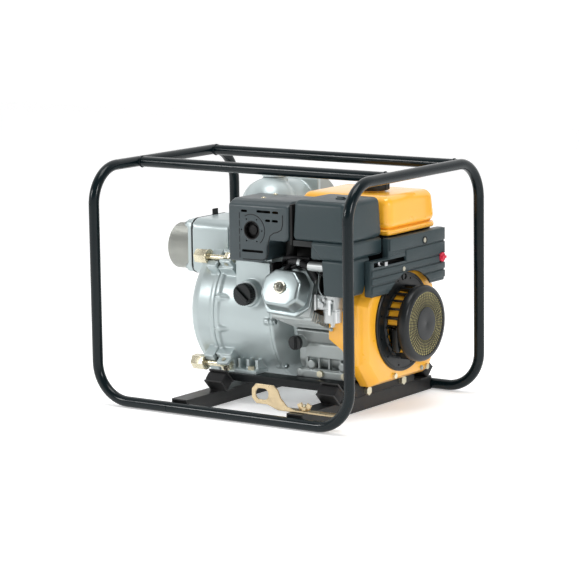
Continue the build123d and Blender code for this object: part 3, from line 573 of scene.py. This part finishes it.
def make_guides_and_shade_plates():
    """Black sheet that leads air over the cylinder, and dark plates that stand as painted shade in the gaps
    round the muffler cover.
    """
    along_cylinder = (100, 222)
    guide = Shape().box((-60, 60), (63, 65.5), along_cylinder, TILTED)
    for x in ((-62.5, -60), (60, 62.5)):
        guide.box(x, (-40, 65.5), along_cylinder, TILTED)
    # dark plates beside, behind and under the muffler cover: painted shade in these gaps
    guide.box((127, 134), (-172, -40), (402, 496))
    guide.box((60, 186), (-62, -58), (330, 402))
    guide.box((58, 62), (-150, -60), (270, 352))
    finished(bevelled(guide.done("air_guides_and_shade_plates"), 0.8, 2), DARK_STEEL, "dark_steel", "pump_set")


VALVE_COVER_OUTLINE = [(-70, -20), (-48, -54), (34, -58), (66, -34), (68, 22), (40, 54), (-30, 58), (-66, 30)]
VALVE_COVER_TOP = 268.0             # from the crankshaft, along the cylinder
# scale of each outline and its distance along the cylinder
RIM_SECTIONS = ((0.99, 226), (1.0, 228), (1.0, 231), (0.97, 233))
DOME_SECTIONS = ((0.90, 230), (0.86, 238), (0.80, 252), (0.76, VALVE_COVER_TOP))


def valve_cover_loft(sections):
    return Shape().loft([[(VALVE_COVER_X + x * scale, y * scale, d) for x, y in VALVE_COVER_OUTLINE]
                         for scale, d in sections], TILTED)


def make_valve_cover():
    rim = bevelled(valve_cover_loft(RIM_SECTIONS).done("valve_cover_rim"), 1.0, 2)
    dome = bevelled(valve_cover_loft(DOME_SECTIONS).done("valve_cover_dome"), 7, 5, 20)
    top = VALVE_COVER_TOP
    bolt = Shape().cyl(15.6, (0, 0, top - 1), (0, 0, top + 4.6), 40, 13, CENTRE)
    bolt.hexagon(17, (0, 0, top + 4), (0, 0, top + 15), CENTRE)
    bolt.cyl(4, (0, 0, top + 15), (0, 0, top + 19), 24, matrix=CENTRE)
    # darker aged zinc on the bolt and its washer: partly the bolt's own olive tone, partly painted shade
    # round the washer
    finished(bevelled(bolt.done("valve_cover_bolt"), 0.8, 2), AGED_ZINC, "yellow_zinc", "pump_set")
    joined = merged("valve_cover_pressing", rim, dome)
    finished(joined, ZINC, "zinc_steel", "pump_set", "valve_cover", sharp=50)


# ---- muffler and air cleaner -----------------------------------------------------------------
MUFFLER_FACE_Y = -176.0
MUFFLER_TOP = 500.0
MUFFLER_OUTLINE = [(-45, 355), (52, 355), (63, 366), (63, 398), (73, 408), (116, 408), (125, 417), (125, 500),
                   (-45, 500)]
MUFFLER_INSIDE = [(-42, 340), (49, 340), (60, 367), (60, 399), (71.5, 411), (115, 411), (122, 418),
                  (122, 496), (-42, 496)]
OUTLET_X, OUTLET_Z, OUTLET_R = 22.0, 430.0, 20.0
SLOT_HALF = 3.0
SLOTS = ((-8, 10, 474), (36, 76, 475), (80, 98, 475), (60, 75, 455), (79, 97, 455), (-7, 54, 381))
MUFFLER_GROOVE = [(110, 470), (110, 448), (106, 436), (96, 430), (84, 427), (74, 420), (70, 408), (69, 380),
                  (64, 367), (52, 362), (-4, 361)]
GROOVE_R = 1.0
RIVETS = ((22, -126), (9, -60))


def slot_cutter(x0, x1, z):
    """Long hole with round ends through the muffler cover's face."""
    face = (MUFFLER_FACE_Y - 2, MUFFLER_FACE_Y + 5)
    slot = Shape().box((x0 + SLOT_HALF, x1 - SLOT_HALF), face, (z - SLOT_HALF, z + SLOT_HALF))
    for x in (x0 + SLOT_HALF, x1 - SLOT_HALF):
        slot.cyl(SLOT_HALF, (x, face[0], z), (x, face[1], z), 20)
    return cast(slot.done("slot"), 0.8, 0)


def cover_sections(outline, steps):
    """The outline at each step back from the face, with its top cut down for the sloped front."""
    return [[(x, y, min(z, top)) for x, z in outline] for y, top in steps]


def make_muffler_cover():
    y = MUFFLER_FACE_Y
    outside = cover_sections(MUFFLER_OUTLINE, ((y, 489), (-152, MUFFLER_TOP), (-46, MUFFLER_TOP)))
    inside = cover_sections(MUFFLER_INSIDE, ((y + 3, 485), (-149, MUFFLER_TOP - 4), (-30, MUFFLER_TOP - 4)))
    shell = bevelled(Shape().loft(outside).done("muffler_cover_sheet"), 6, 5)
    shell = cut(shell, Shape().loft(inside).done("inner"))
    holes = Shape().cyl(OUTLET_R, (OUTLET_X, y - 14, OUTLET_Z), (OUTLET_X, y + 11, OUTLET_Z), 48)
    for k in range(6):
        a = math.radians(60 * k)
        x, z = OUTLET_X + 29 * math.cos(a), OUTLET_Z + 29 * math.sin(a)
        holes.cyl(2.0, (x, y - 14, z), (x, y + 11, z), 12)
    shell = cut(shell, holes.done("holes"))
    for x0, x1, z in SLOTS:
        shell = cut(shell, slot_cutter(x0, x1, z))
    finished(shell, SLATE_STEEL, "slate_steel", "pump_set", "muffler_cover")

    # dark strips and beads on the cover's face: painted shade in the pressed grooves, along the dashed line
    # and round the outlet
    lines = Shape()
    for dash in range(6):
        z = 470 - 18.5 * dash
        lines.box((-13.2, -11.8), (y - 0.4, y + 1), (z - 14, z))
    lines.tube([(x, y, z) for x, z in MUFFLER_GROOVE], GROOVE_R, 8)
    turns = [math.radians(t) for t in range(-50, 130, 10)]
    arc = [(OUTLET_X + 37 * math.cos(t), y, OUTLET_Z + 37 * math.sin(t)) for t in turns]
    lines.tube(arc, 0.9 * GROOVE_R, 8)
    lines.lathe_y((OUTLET_X, OUTLET_Z), [(y - 0.5, 19.5), (y - 0.5, 22), (y + 8, 22), (y + 8, 19.5)])
    finished(lines.done("muffler_cover_groove_shade"), DARK_STEEL, "dark_steel", "pump_set")
    rivets = Shape()
    for x, y in RIVETS:
        rivets.ball(4.5, (x, y, MUFFLER_TOP), (1, 1, 0.7))
        rivets.cyl(6.5, (x, y, MUFFLER_TOP - 1), (x, y, MUFFLER_TOP + 1), 24)
    finished(rivets.done("muffler_cover_rivets"), YELLOW_ZINC, "yellow_zinc", "pump_set")


LID_X, LID_Y, LID_Z = (137.0, 286.0), (-180.0, -24.0), (414.0, 508.0)
# both ends along X, both ends along Y and the height of each outline of the lower case
CASE_SECTIONS = ((215, 285, -179, -74, 375), (218, 285, -178, -84, 340), (219, 284, -176, -103, 290))


def tapered_box(name, x, y, z, draft):
    """Box whose top is smaller: draft gives how far each side leans in, as (x0, x1, y0, y1)."""
    top_x, top_y = (x[0] + draft[0], x[1] - draft[1]), (y[0] + draft[2], y[1] - draft[3])
    outlines = [[(a[0], b[0], h), (a[1], b[0], h), (a[1], b[1], h), (a[0], b[1], h)]
                for a, b, h in ((x, y, z[0]), (top_x, top_y, z[1]))]
    return Shape().loft(outlines).done(name)


def make_air_cleaner():
    cover = bevelled(tapered_box("air_cleaner_lid", LID_X, LID_Y, LID_Z, (3, 4, 5, 4)), 13, 6)
    finished(cover, SLATE, "slate_plastic", "pump_set", "air_cleaner_cover")
    upper = Shape().prism([(184, 413), (285, 413), (285, 376), (215, 376)], -179, -25, "Y").done("upper")
    upper = bevelled(upper, 6, 4)
    sections = [[(x0, y0, z), (x1, y0, z), (x1, y1, z), (x0, y1, z)] for x0, x1, y0, y1, z in CASE_SECTIONS]
    lower = bevelled(Shape().loft(sections).done("lower"), 8, 5)
    core = bevelled(Shape().box((187, 283), (-177, -28), (374, 415)).done("core"), 5, 3)
    case = merged("air_cleaner_lower_case", upper, lower, core)
    finished(case, SLATE, "slate_plastic", "pump_set", "air_cleaner_case")
    # black plate under the lid over the filter's bottom: partly the cleaner's base, partly painted shade
    base = bevelled(Shape().box((139, 192), (-177, -28), (401.5, 415)).done("air_cleaner_base_and_shade"), 1.5, 3)
    finished(base, BLACK_PLASTIC, "black_plastic", "pump_set")
    clip = Shape().box((218, 238), (-118, -102), (506, 511)).cyl(3, (218, -110, 511), (238, -110, 511), 16)
    finished(bevelled(clip.done("air_cleaner_clip"), 1.0, 2), SLATE, "slate_plastic", "pump_set")


# ---- tank, shroud, recoil starter ------------------------------------------------------------
TANK_X, TANK_Y = (45.0, 300.0), (-18.0, 190.0)
TANK_BOTTOM, TANK_TOP = 414.0, 505.0
NECK_X, NECK_Y = 202.0, 68.0


def make_tank():
    upper = bevelled(tapered_box("upper", TANK_X, TANK_Y, (427, TANK_TOP), (4, 4, 4, 8)), 20, 8)
    pan_x, pan_y = (TANK_X[0] + 4, TANK_X[1] - 4), (TANK_Y[0] + 4, TANK_Y[1] - 4)
    pan = bevelled(Shape().box(pan_x, pan_y, (TANK_BOTTOM, 430)).done("pan"), 7, 4)
    rim = rounded((TANK_X[0] - 2, TANK_X[1] + 1), (TANK_Y[0] - 2, TANK_Y[1] + 2), 30)
    seam = bevelled(Shape().prism(rim, 423.5, 428, "Z").done("seam"), 1.4, 3, 60)
    neck = Shape().cyl(31, (NECK_X, NECK_Y, TANK_TOP - 7), (NECK_X, NECK_Y, TANK_TOP + 1), 48, 28)
    neck.cyl(27, (NECK_X, NECK_Y, TANK_TOP - 5), (NECK_X, NECK_Y, TANK_TOP + 4), 48)
    whole = merged("fuel_tank_shell", upper, pan, seam, neck.done("neck"))
    finished(whole, ORANGE, "orange_paint", "pump_set", "fuel_tank")


def make_tank_bracket():
    """Sheet bracket between the engine and the tank."""
    x0, x1, y0, y1, top = 62, 284, -20, 184, TANK_BOTTOM - 1
    sheet = Shape().box((x0, x1), (y0, y0 + SHEET), (300, top))
    sheet.box((x1 - SHEET, x1), (y0, y1), (330, top))
    sheet.box((x0, x0 + SHEET), (y0, y1), (300, top))
    sheet.box((x0, x1), (y0, y1), (top - 4, top - 1))
    sheet.box((130, x1), (-100, y0), (330, 333))
    sheet.box((240, x1), (-90, y0), (333, 336))
    finished(bevelled(sheet.done("tank_bracket"), 0.6, 2), DARK_STEEL, "dark_steel", "pump_set")


SHROUD_OUTLINE = [(-98, 118), (-98, 262), (-50, 330), (166, 330), (206, 280), (206, 100), (182, 62),
                  (-52, 62)]
SHROUD_Y, SHROUD_Z = 54.0, 196.0    # middle of the outline
SHROUD_HALF = (152.0, 134.0)        # half its width and height
SHROUD_BACK, SHROUD_EDGE, SHROUD_FACE = 236.4, 262.0, 285.0
CHEEK = [(182, 176), (182, 228), (240, 256), (240, 118), (218, 153)]


def shroud_outline(inset, x):
    """The outline drawn in by about the inset on every side."""
    ky, kz = (1 - inset / half for half in SHROUD_HALF)
    return [(x, SHROUD_Y + (y - SHROUD_Y) * ky, SHROUD_Z + (z - SHROUD_Z) * kz) for y, z in SHROUD_OUTLINE]


def axis_cylinder(radius, x0, x1, sides=48):
    """Cylinder round the main axis."""
    return Shape().cyl(radius, (x0, AXIS_Y, AXIS_Z), (x1, AXIS_Y, AXIS_Z), sides)


def make_shroud():
    outside = [shroud_outline(0, SHROUD_BACK), shroud_outline(0, SHROUD_EDGE),
               shroud_outline(13, SHROUD_FACE)]
    inside = [shroud_outline(3, SHROUD_BACK - 6.4), shroud_outline(3, SHROUD_EDGE - 1),
              shroud_outline(18, SHROUD_FACE - 3)]
    outer = bevelled(Shape().loft(outside).done("blower_cover"), 2.2, 3, 15)
    outer = cut(outer, Shape().loft(inside).done("inner"))
    outer = cut(outer, axis_cylinder(100, 270, 300, 96).done("mouth"))
    cheek = bevelled(Shape().prism(CHEEK, -98, -95, "Y").done("cheek"), 0.8, 2)
    outer = merged("blower_cover", outer, cheek)
    finished(outer, ORANGE, "orange_paint", "pump_set", "blower_housing", sharp=30)
    plate = Shape().prism([(y, z) for _, y, z in shroud_outline(9, 0)], 229, 235.6)
    plate.cyl(60, (228.5, AXIS_Y, AXIS_Z), (236, AXIS_Y, AXIS_Z), 48)
    plate = cut(plate.done("blower_back_plate"), axis_cylinder(24, 220, 240).done("bore"))
    finished(bevelled(plate, 1.0, 2), SHADED_ENGINE_CAST, "cast_aluminium", "pump_set")
    screws = Shape()
    for y, z in ((21, 80), (140, 80), (186, 112)):
        screws.cyl(6, (SHROUD_FACE - 9, y, z), (SHROUD_FACE + 1, y, z), 24)
        screws.hexagon(9, (SHROUD_FACE, y, z), (SHROUD_FACE + 4, y, z))
    screws.cyl(5, (190, -98, 200), (190, -101, 200), 24)
    screws.hexagon(7, (190, -101, 200), (190, -104, 200))
    finished(bevelled(screws.done("blower_screws"), 0.6, 2), ZINC, "zinc_steel", "pump_set")


RECOIL_X = (285.0, 291.0, 336.0, 352.0)        # back and front of the flange, edge of the cap, its face
GRILLE_R = (38.5, 75.5)
GRILLE_ROWS, GRILLE_COLUMNS = 6, 54
GRILLE_WIRE = 0.8                   # half the width left between two holes
RIM_HOLES = 12
SLATS = 24
HANDLE_WINDOW = ((296, 324), (-60, 6), (136, 206))
DRUM_WINDOW = ((294, 328), (-62, 8), (134, 208))
HANDLE = ((300, 320), (-16, 0), (142, 200))


def perforated_ring(x, inner, outer, rows, columns, thick):
    """Sheet ring across the main axis with rows of holes."""
    bm = bmesh.new()
    grid = []
    for i in range(rows + 1):
        r = inner + (outer - inner) * i / rows
        grid.append([bm.verts.new(at_angle(360 * k / columns, r, x) * MM) for k in range(columns)])
    faces = []
    for i in range(rows):
        for k in range(columns):
            m = (k + 1) % columns
            faces.append(bm.faces.new((grid[i][k], grid[i][m], grid[i + 1][m], grid[i + 1][k])))
    bm.normal_update()
    bmesh.ops.inset_individual(bm, faces=faces, thickness=GRILLE_WIRE * MM)
    bmesh.ops.delete(bm, geom=faces, context="FACES_ONLY")
    bmesh.ops.recalc_face_normals(bm, faces=bm.faces)
    mesh = bpy.data.meshes.new("grille")
    bm.to_mesh(mesh)
    bm.free()
    piece = bpy.data.objects.new("grille", mesh)
    bpy.context.scene.collection.objects.link(piece)
    mod = piece.modifiers.new("thick", "SOLIDIFY")
    mod.thickness = thick * MM
    mod.offset = 0
    return applied(piece)


def make_recoil():
    x0, x1, x2, x3 = RECOIL_X
    flange = Shape().lathe([(x0, 98), (x0, 117), (x1 - 2, 117), (x1, 115), (x1, 86), (x0 + 2, 86), (x0, 88)])
    flange.lathe([(x1 - 1, 112), (x1 + 1.4, 111), (x1 + 1.4, 109), (x1 - 1, 108)])
    flange = flange.done("flange")
    holes = Shape()
    for k in range(RIM_HOLES):
        centre = at_angle(15 + 360 / RIM_HOLES * k, 103, x0 - 2)
        holes.cyl(2.6, centre, centre + Vector((12, 0, 0)), 14)
    flange = cut(flange, holes.done("holes"))
    body = Shape()
    body.lathe([(x1 - 1, 80), (x1 - 1, 88), (x1 + 5, 85), (x1 + 5, 80)])
    body.lathe([(x2 - 12, 80), (x2 - 12, 85), (x2 - 8, 89), (x2 - 3, 90), (x2 + 5, 90), (x2 + 10, 88.5),
                (x2 + 14, 84.5), (x3 - 0.4, 79), (x3, 75), (x3 - 3, 74), (x3 - 6, 80), (x2 - 6, 84)])
    slat = Matrix.Translation((0, 82.5, 0)) @ Matrix.Rotation(math.radians(28), 4, "X")
    for k in range(SLATS):
        turn = ON_AXIS @ Matrix.Rotation(2 * math.pi * k / SLATS, 4, "X")
        body.box((x1 + 3, x2 - 9), (-5, 5), (-2.6, 2.6), turn @ slat)
    body.lathe([(x3 - 2, 0.01), (x3 - 2, 38), (x3 - 0.5, 39), (x3 - 0.1, 37), (x3 - 0.1, 0.01)])
    body = cut(bevelled(body.done("body"), 0.6, 2), Shape().box(*HANDLE_WINDOW).done("window"))
    grille = perforated_ring(x3 - 1.0, *GRILLE_R, GRILLE_ROWS, GRILLE_COLUMNS, 1.2)
    finished(merged("recoil_cover", flange, body, grille), BLACK_PLASTIC, "black_plastic", "pump_set",
             "recoil_housing")
    # tan screen behind the grille, coloured lighter as painted light against the shadow it sits in
    screen = Shape().lathe([(x3 - 3.6, 36), (x3 - 3.6, 76), (x3 - 2.8, 76), (x3 - 2.8, 36)])
    finished(screen.done("recoil_screen"), TAN, "black_plastic", "pump_set")
    drum = Shape().lathe([(x1 + 2, 76), (x1 + 2, 78), (x2 - 6, 78), (x2 - 6, 76)])
    drum = cut(drum.done("recoil_inner_ring"), Shape().box(*DRUM_WINDOW).done("window"))
    finished(drum, ORANGE, "orange_paint", "pump_set")
    grip = bevelled(Shape().box(*HANDLE).done("recoil_grip"), 6, 5)
    finished(grip, BLACK_PLASTIC, "black_plastic", "recoil_handle", "recoil_handle")


PANEL_OUTLINE = [(-104, 283), (214, 283), (214, 411), (-28, 411), (-28, 366), (-104, 366)]
PANEL_INSIDE = [(-101, 270), (211, 270), (211, 408), (-25, 408), (-25, 363), (-101, 363)]
PANEL_X = (284.0, 306.0)
PANEL_ARC_R = 122.0                 # clears the recoil starter's flange
LEVER_SLOT = ((298, 312), (-94, 40), (351.5, 362.5))
PANEL_LINES = ((378, -24), (345.5, -110), (328, -110), (310, -110), (372, -24))       # height, left end
LINE_HALF = 0.9
PANEL_BARS = (((-103, 213), (331, 345)), ((-103, 213), (312, 327)), ((-103, 213), (291, 308)),
              ((-27, 213), (381, 410)), ((42, 213), (349, 377)))
BAR_X = (304.0, 308.2)
BUTTON_Y, BUTTON_Z, BUTTON_R = 200.0, 340.0, 13.0
PANEL_SCREWS = ((122, 390), (33, 316))


def panel_openings(x0):
    """Cutters that clear the recoil starter and the engine switch."""
    arc = axis_cylinder(PANEL_ARC_R, 270, 320, 128).done("arc")
    button = Shape().cyl(BUTTON_R, (x0, BUTTON_Y, BUTTON_Z), (320, BUTTON_Y, BUTTON_Z), 48).done("button")
    return arc, button


def make_panel():
    panel = bevelled(Shape().prism(PANEL_OUTLINE, *PANEL_X).done("panel"), 5, 4)
    arc, button = panel_openings(301)
    panel = cut(panel, arc)
    panel = cut(panel, Shape().prism(PANEL_INSIDE, PANEL_X[0] - 4, PANEL_X[1] - 4).done("inner"))
    panel = cut(panel, bevelled(Shape().box(*LEVER_SLOT).done("slot"), 2, 3))
    lines = Shape()
    for z, y0 in PANEL_LINES:
        lines.box((PANEL_X[1] - 0.8, PANEL_X[1] + 2), (y0, 220), (z - LINE_HALF, z + LINE_HALF))
    panel = cut(panel, lines.done("lines"))
    panel = cut(panel, button)
    post = Shape().cyl(2.95, (294, -56, 349), (294, -56, 364), 20)
    bars = Shape()
    for y, z in PANEL_BARS:
        bars.box(BAR_X, y, z)
    bars = bevelled(bars.done("bars"), 1.8, 3)
    for opening in panel_openings(300):
        bars = cut(bars, opening)
    cover = merged("side_panel_cover", panel, post.done("post"), bars)
    finished(cover, SLATE, "slate_plastic", "pump_set", "side_panel", sharp=32)
    rings = Shape()
    for y, z in PANEL_SCREWS:
        rings.lathe([(305, 7.2), (309.6, 7.2), (309.6, 9.6), (305, 9.6)], (y, z), 32)
    finished(rings.done("side_panel_washers"), BLACK_PLASTIC, "black_plastic", "pump_set")


# ---- small parts -----------------------------------------------------------------------------
def make_edges():
    """Sheet, rod and moulded pieces whose CAD edges only need breaking."""
    for node, width, slot, body in (("engine_bed", 1.5, "frame_black", "pump_set"),
                                    ("cover_wrench", 1.0, "yellow_zinc", "cover_wrench"),
                                    ("wing_nut", 0.8, "yellow_zinc", "wing_nut"),
                                    ("fuel_cap", 1.2, "black_plastic", "fuel_cap"),
                                    ("oil_dipstick", 1.2, "black_plastic", "oil_dipstick"),
                                    ("rubber_mounts", 1.5, "rubber_black", "pump_set"),
                                    ("muffler", 1.5, "dark_steel", "pump_set")):
        piece = bevelled(Shape().copy_node(node).done(node + "_body"), width, 2)
        finished(piece, CAD_LOOKS[node], slot, body, node)
    for number in range(1, 5):
        name = f"cover_nut_{number}"
        nut = bevelled(Shape().copy_node(name).done(name + "_body"), 1.6, 2, 20)
        finished(nut, YELLOW_ZINC, "yellow_zinc", name, name)


PLUG_GRIPS = 28


def make_side_plug():
    plug = Shape().cyl(25, (PLUG_X, -134, PLUG_Z), (PLUG_X, -122, PLUG_Z), 64)
    plug.cyl(25.8, (PLUG_X, -122, PLUG_Z), (PLUG_X, -114.5, PLUG_Z), 64)
    for k in range(PLUG_GRIPS):
        a = 2 * math.pi * k / PLUG_GRIPS
        x, z = PLUG_X + 25.3 * math.cos(a), PLUG_Z + 25.3 * math.sin(a)
        plug.cyl(1.3, (x, -133, z), (x, -115, z), 8)
    turn = Matrix.Translation((PLUG_X, 0, PLUG_Z)) @ Matrix.Rotation(math.radians(40), 4, "Y")
    plug.box((-22, 22), (-141, -131), (-4.5, 4.5), turn)
    plug.cyl(22, (PLUG_X, -115, PLUG_Z), (PLUG_X, -94, PLUG_Z), 48)
    plug = bevelled(plug.done("side_plug_moulding"), 1.4, 3)
    finished(plug, BLACK_PLASTIC, "black_plastic", "side_plug", "side_plug")


# radius, sides and route of each hose or wire
HOSES = ((4.5, 12, [(118, -150, 346), (150, -150, 362), (172, -140, 352), (190, -128, 330),
                    (204, -112, 300)]),
         (5.5, 12, [(96, -150, 338), (112, -128, 360), (150, -104, 366), (190, -92, 360), (226, -84, 340)]),
         (3.8, 12, [(204, -100, 290), (196, -92, 320), (212, -70, 356), (240, -40, 386), (250, -10, 412)]),
         (3.0, 12, [(140, -112, 352), (166, -96, 330), (196, -88, 296), (226, -84, 262)]),
         (8.0, 20, [(98, -116, 347), (112, -146, 360), (140, -158, 362), (164, -150, 350), (178, -140, 322)]),
         (4.5, 12, [(70, -120, 352), (92, -140, 366), (124, -150, 370), (160, -140, 368)]),
         (5.0, 12, [(206, -112, 312), (212, -118, 290), (204, -124, 276), (198, -120, 262)]))
RODS = ((1.3, 8, [(212, -160, 284), (204, -166, 300), (196, -158, 322), (186, -140, 344)]),
        (1.1, 8, [(210, -162, 268), (198, -164, 282), (180, -140, 300), (172, -118, 344)]))
LINKAGE_BOLTS = ((104, -122, 352), (156, -112, 346), (188, -112, 346), (172, -104, 346))


def make_hoses():
    """Short hoses, wires and linkage rods between the engine and the carburettor, fixed at both ends, with
    two dark blocks as painted shade among them.
    """
    hoses = Shape()
    for radius, sides, route in HOSES:
        hoses.tube(curve(route), radius, sides)
    # two dark blocks among the hoses: painted shade, not parts
    hoses.box((148, 196), (-128, -96), (340, 346))
    hoses.box((196, 204), (-120, -92), (262, 330))
    finished(hoses.done("engine_hoses_and_shade_blocks"), RUBBER, "rubber_black", "pump_set")
    linkage = Shape().cyl(9.2, (140, -158.4, 362), (147, -157.5, 361), 24)
    for x, y, z in LINKAGE_BOLTS:
        linkage.cyl(6, (x, y, z), (x, y, z + 1.5), 24)
        linkage.hexagon(8.5, (x, y, z + 1), (x, y, z + 6))
    for radius, sides, route in RODS:
        linkage.tube(curve(route), radius, sides)
    finished(linkage.done("engine_linkage"), ZINC, "zinc_steel", "pump_set")


CROSSBAR_Y = (-108, 191)
CROSSBAR_Z = 564.0
CHANNEL_X = (-122, 206)
CHANNEL_END_Y = 269.5
BUTT_SEAM = (-150.0, -282.0, 12.7)  # middle of the seam where the frame loop closes


def frame_ring(x, y, z, across, up):
    """Points round the tube at a place on the frame."""
    turns = [2 * math.pi * k / 32 for k in range(32)]
    return [(x, y + across * math.cos(t), z + up * math.sin(t)) for t in turns]


def make_welds():
    welds = Shape()
    for y in CROSSBAR_Y:
        for x in (-347.5, 347.5):
            welds.tube(frame_ring(x, y, CROSSBAR_Z, 13.2, 13.2), 1.6, 8, closed=True)
    for x in CHANNEL_X:
        for y in (-CHANNEL_END_Y, CHANNEL_END_Y):
            welds.tube([(x - 20, y, 18), (x - 8, y, 18.6), (x + 8, y, 17.6), (x + 20, y, 18)], 2.2, 8)
    welds.tube(frame_ring(*BUTT_SEAM, 12.9, 12.4), 0.6, 6, closed=True)
    finished(welds.done("frame_welds"), FRAME_BLACK, "frame_black", "pump_set")


# ---- camera, light and floor -----------------------------------------------------------------
CAMERA_AT = (3.58341, -5.11250, 1.26963)           # metres
CAMERA_YAW, CAMERA_PITCH, CAMERA_ROLL = 35.0, 9.147, -0.8
SENSOR_MM, LENS_MM = 36.0, 164.817
BACKDROP = (-0.54, 0.77, 0.34)                     # direction of the bright part of the sky
LIGHTS = (((-2.2, -3.0, 1.8), 0.8, 36), ((3.0, -1.0, 1.6), 0.8, 28), ((0.4, -0.4, 3.2), 1.6, 44))
LIGHTS_AIM = Vector((0, 0, 0.3))


def make_stage():
    make_camera()
    make_floor()
    make_sky()
    for place, size, power in LIGHTS:
        light = bpy.data.lights.new("softbox", "AREA")
        light.size = size
        light.energy = power
        lamp = bpy.data.objects.new("softbox", light)
        lamp.location = place
        lamp.rotation_euler = (LIGHTS_AIM - Vector(place)).to_track_quat("-Z", "Y").to_euler()
        bpy.context.scene.collection.objects.link(lamp)
    bpy.context.scene.view_settings.view_transform = "Standard"


def make_camera():
    yaw, pitch, roll = (math.radians(t) for t in (CAMERA_YAW, CAMERA_PITCH, CAMERA_ROLL))
    back = Vector((math.sin(yaw) * math.cos(pitch), -math.cos(yaw) * math.cos(pitch), math.sin(pitch)))
    data = bpy.data.cameras.new("camera")
    camera = bpy.data.objects.new("camera", data)
    bpy.context.scene.collection.objects.link(camera)
    data.sensor_width = SENSOR_MM
    data.lens = LENS_MM
    right = (-back).cross(Vector((0, 0, 1))).normalized()
    up = right.cross(-back)
    across = right * math.cos(roll) + up * math.sin(roll)
    upright = up * math.cos(roll) - right * math.sin(roll)
    turned = Matrix((across, upright, back)).transposed().to_4x4()
    camera.matrix_world = Matrix.Translation(CAMERA_AT) @ turned
    bpy.context.scene.camera = camera


def make_floor():
    floor = Shape().box((-6000, 6000), (-6000, 6000), (-10, -1.0)).done("floor")
    look = bpy.data.materials.new("floor")
    look.use_nodes = True
    shader = look.node_tree.nodes["Principled BSDF"]
    shader.inputs["Base Color"].default_value = (0.95, 0.95, 0.95, 1)
    shader.inputs["Roughness"].default_value = 0.8
    shader.inputs["Emission Color"].default_value = (1.0, 1.0, 1.0, 1)
    shader.inputs["Emission Strength"].default_value = 0.35
    floor.data.materials.append(look)


def make_sky():
    """White studio: bright towards the backdrop and all round the horizon, darker overhead."""
    world = bpy.data.worlds.new("studio")
    world.use_nodes = True
    nodes, links = world.node_tree.nodes, world.node_tree.links
    coords = nodes.new("ShaderNodeTexCoord")
    toward = nodes.new("ShaderNodeVectorMath")
    toward.operation = "DOT_PRODUCT"
    toward.inputs[1].default_value = BACKDROP
    links.new(coords.outputs["Generated"], toward.inputs[0])
    ramp = nodes.new("ShaderNodeMapRange")
    ramp.interpolation_type = "SMOOTHSTEP"
    ramp.inputs["From Min"].default_value = -0.1
    ramp.inputs["From Max"].default_value = 0.8
    ramp.inputs["To Min"].default_value = 0.20
    ramp.inputs["To Max"].default_value = 1.15
    links.new(toward.outputs["Value"], ramp.inputs["Value"])
    split = nodes.new("ShaderNodeSeparateXYZ")
    links.new(coords.outputs["Generated"], split.inputs[0])
    horizon = nodes.new("ShaderNodeMapRange")
    horizon.interpolation_type = "SMOOTHSTEP"
    horizon.inputs["From Min"].default_value = 0.12
    horizon.inputs["From Max"].default_value = 0.26
    horizon.inputs["To Min"].default_value = 1.05
    horizon.inputs["To Max"].default_value = 0.20
    links.new(split.outputs["Z"], horizon.inputs["Value"])
    brighter = nodes.new("ShaderNodeMath")
    brighter.operation = "MAXIMUM"
    links.new(ramp.outputs["Result"], brighter.inputs[0])
    links.new(horizon.outputs["Result"], brighter.inputs[1])
    links.new(brighter.outputs["Value"], nodes["Background"].inputs["Strength"])
    nodes["Background"].inputs["Color"].default_value = (1.0, 1.0, 1.0, 1)
    bpy.context.scene.world = world


dress_cad_nodes()
make_pump()
make_engine_castings()
make_guides_and_shade_plates()
make_valve_cover()
make_muffler_cover()
make_air_cleaner()
make_tank()
make_tank_bracket()
make_shroud()
make_recoil()
make_panel()
make_edges()
make_side_plug()
make_hoses()
make_welds()
make_stage()
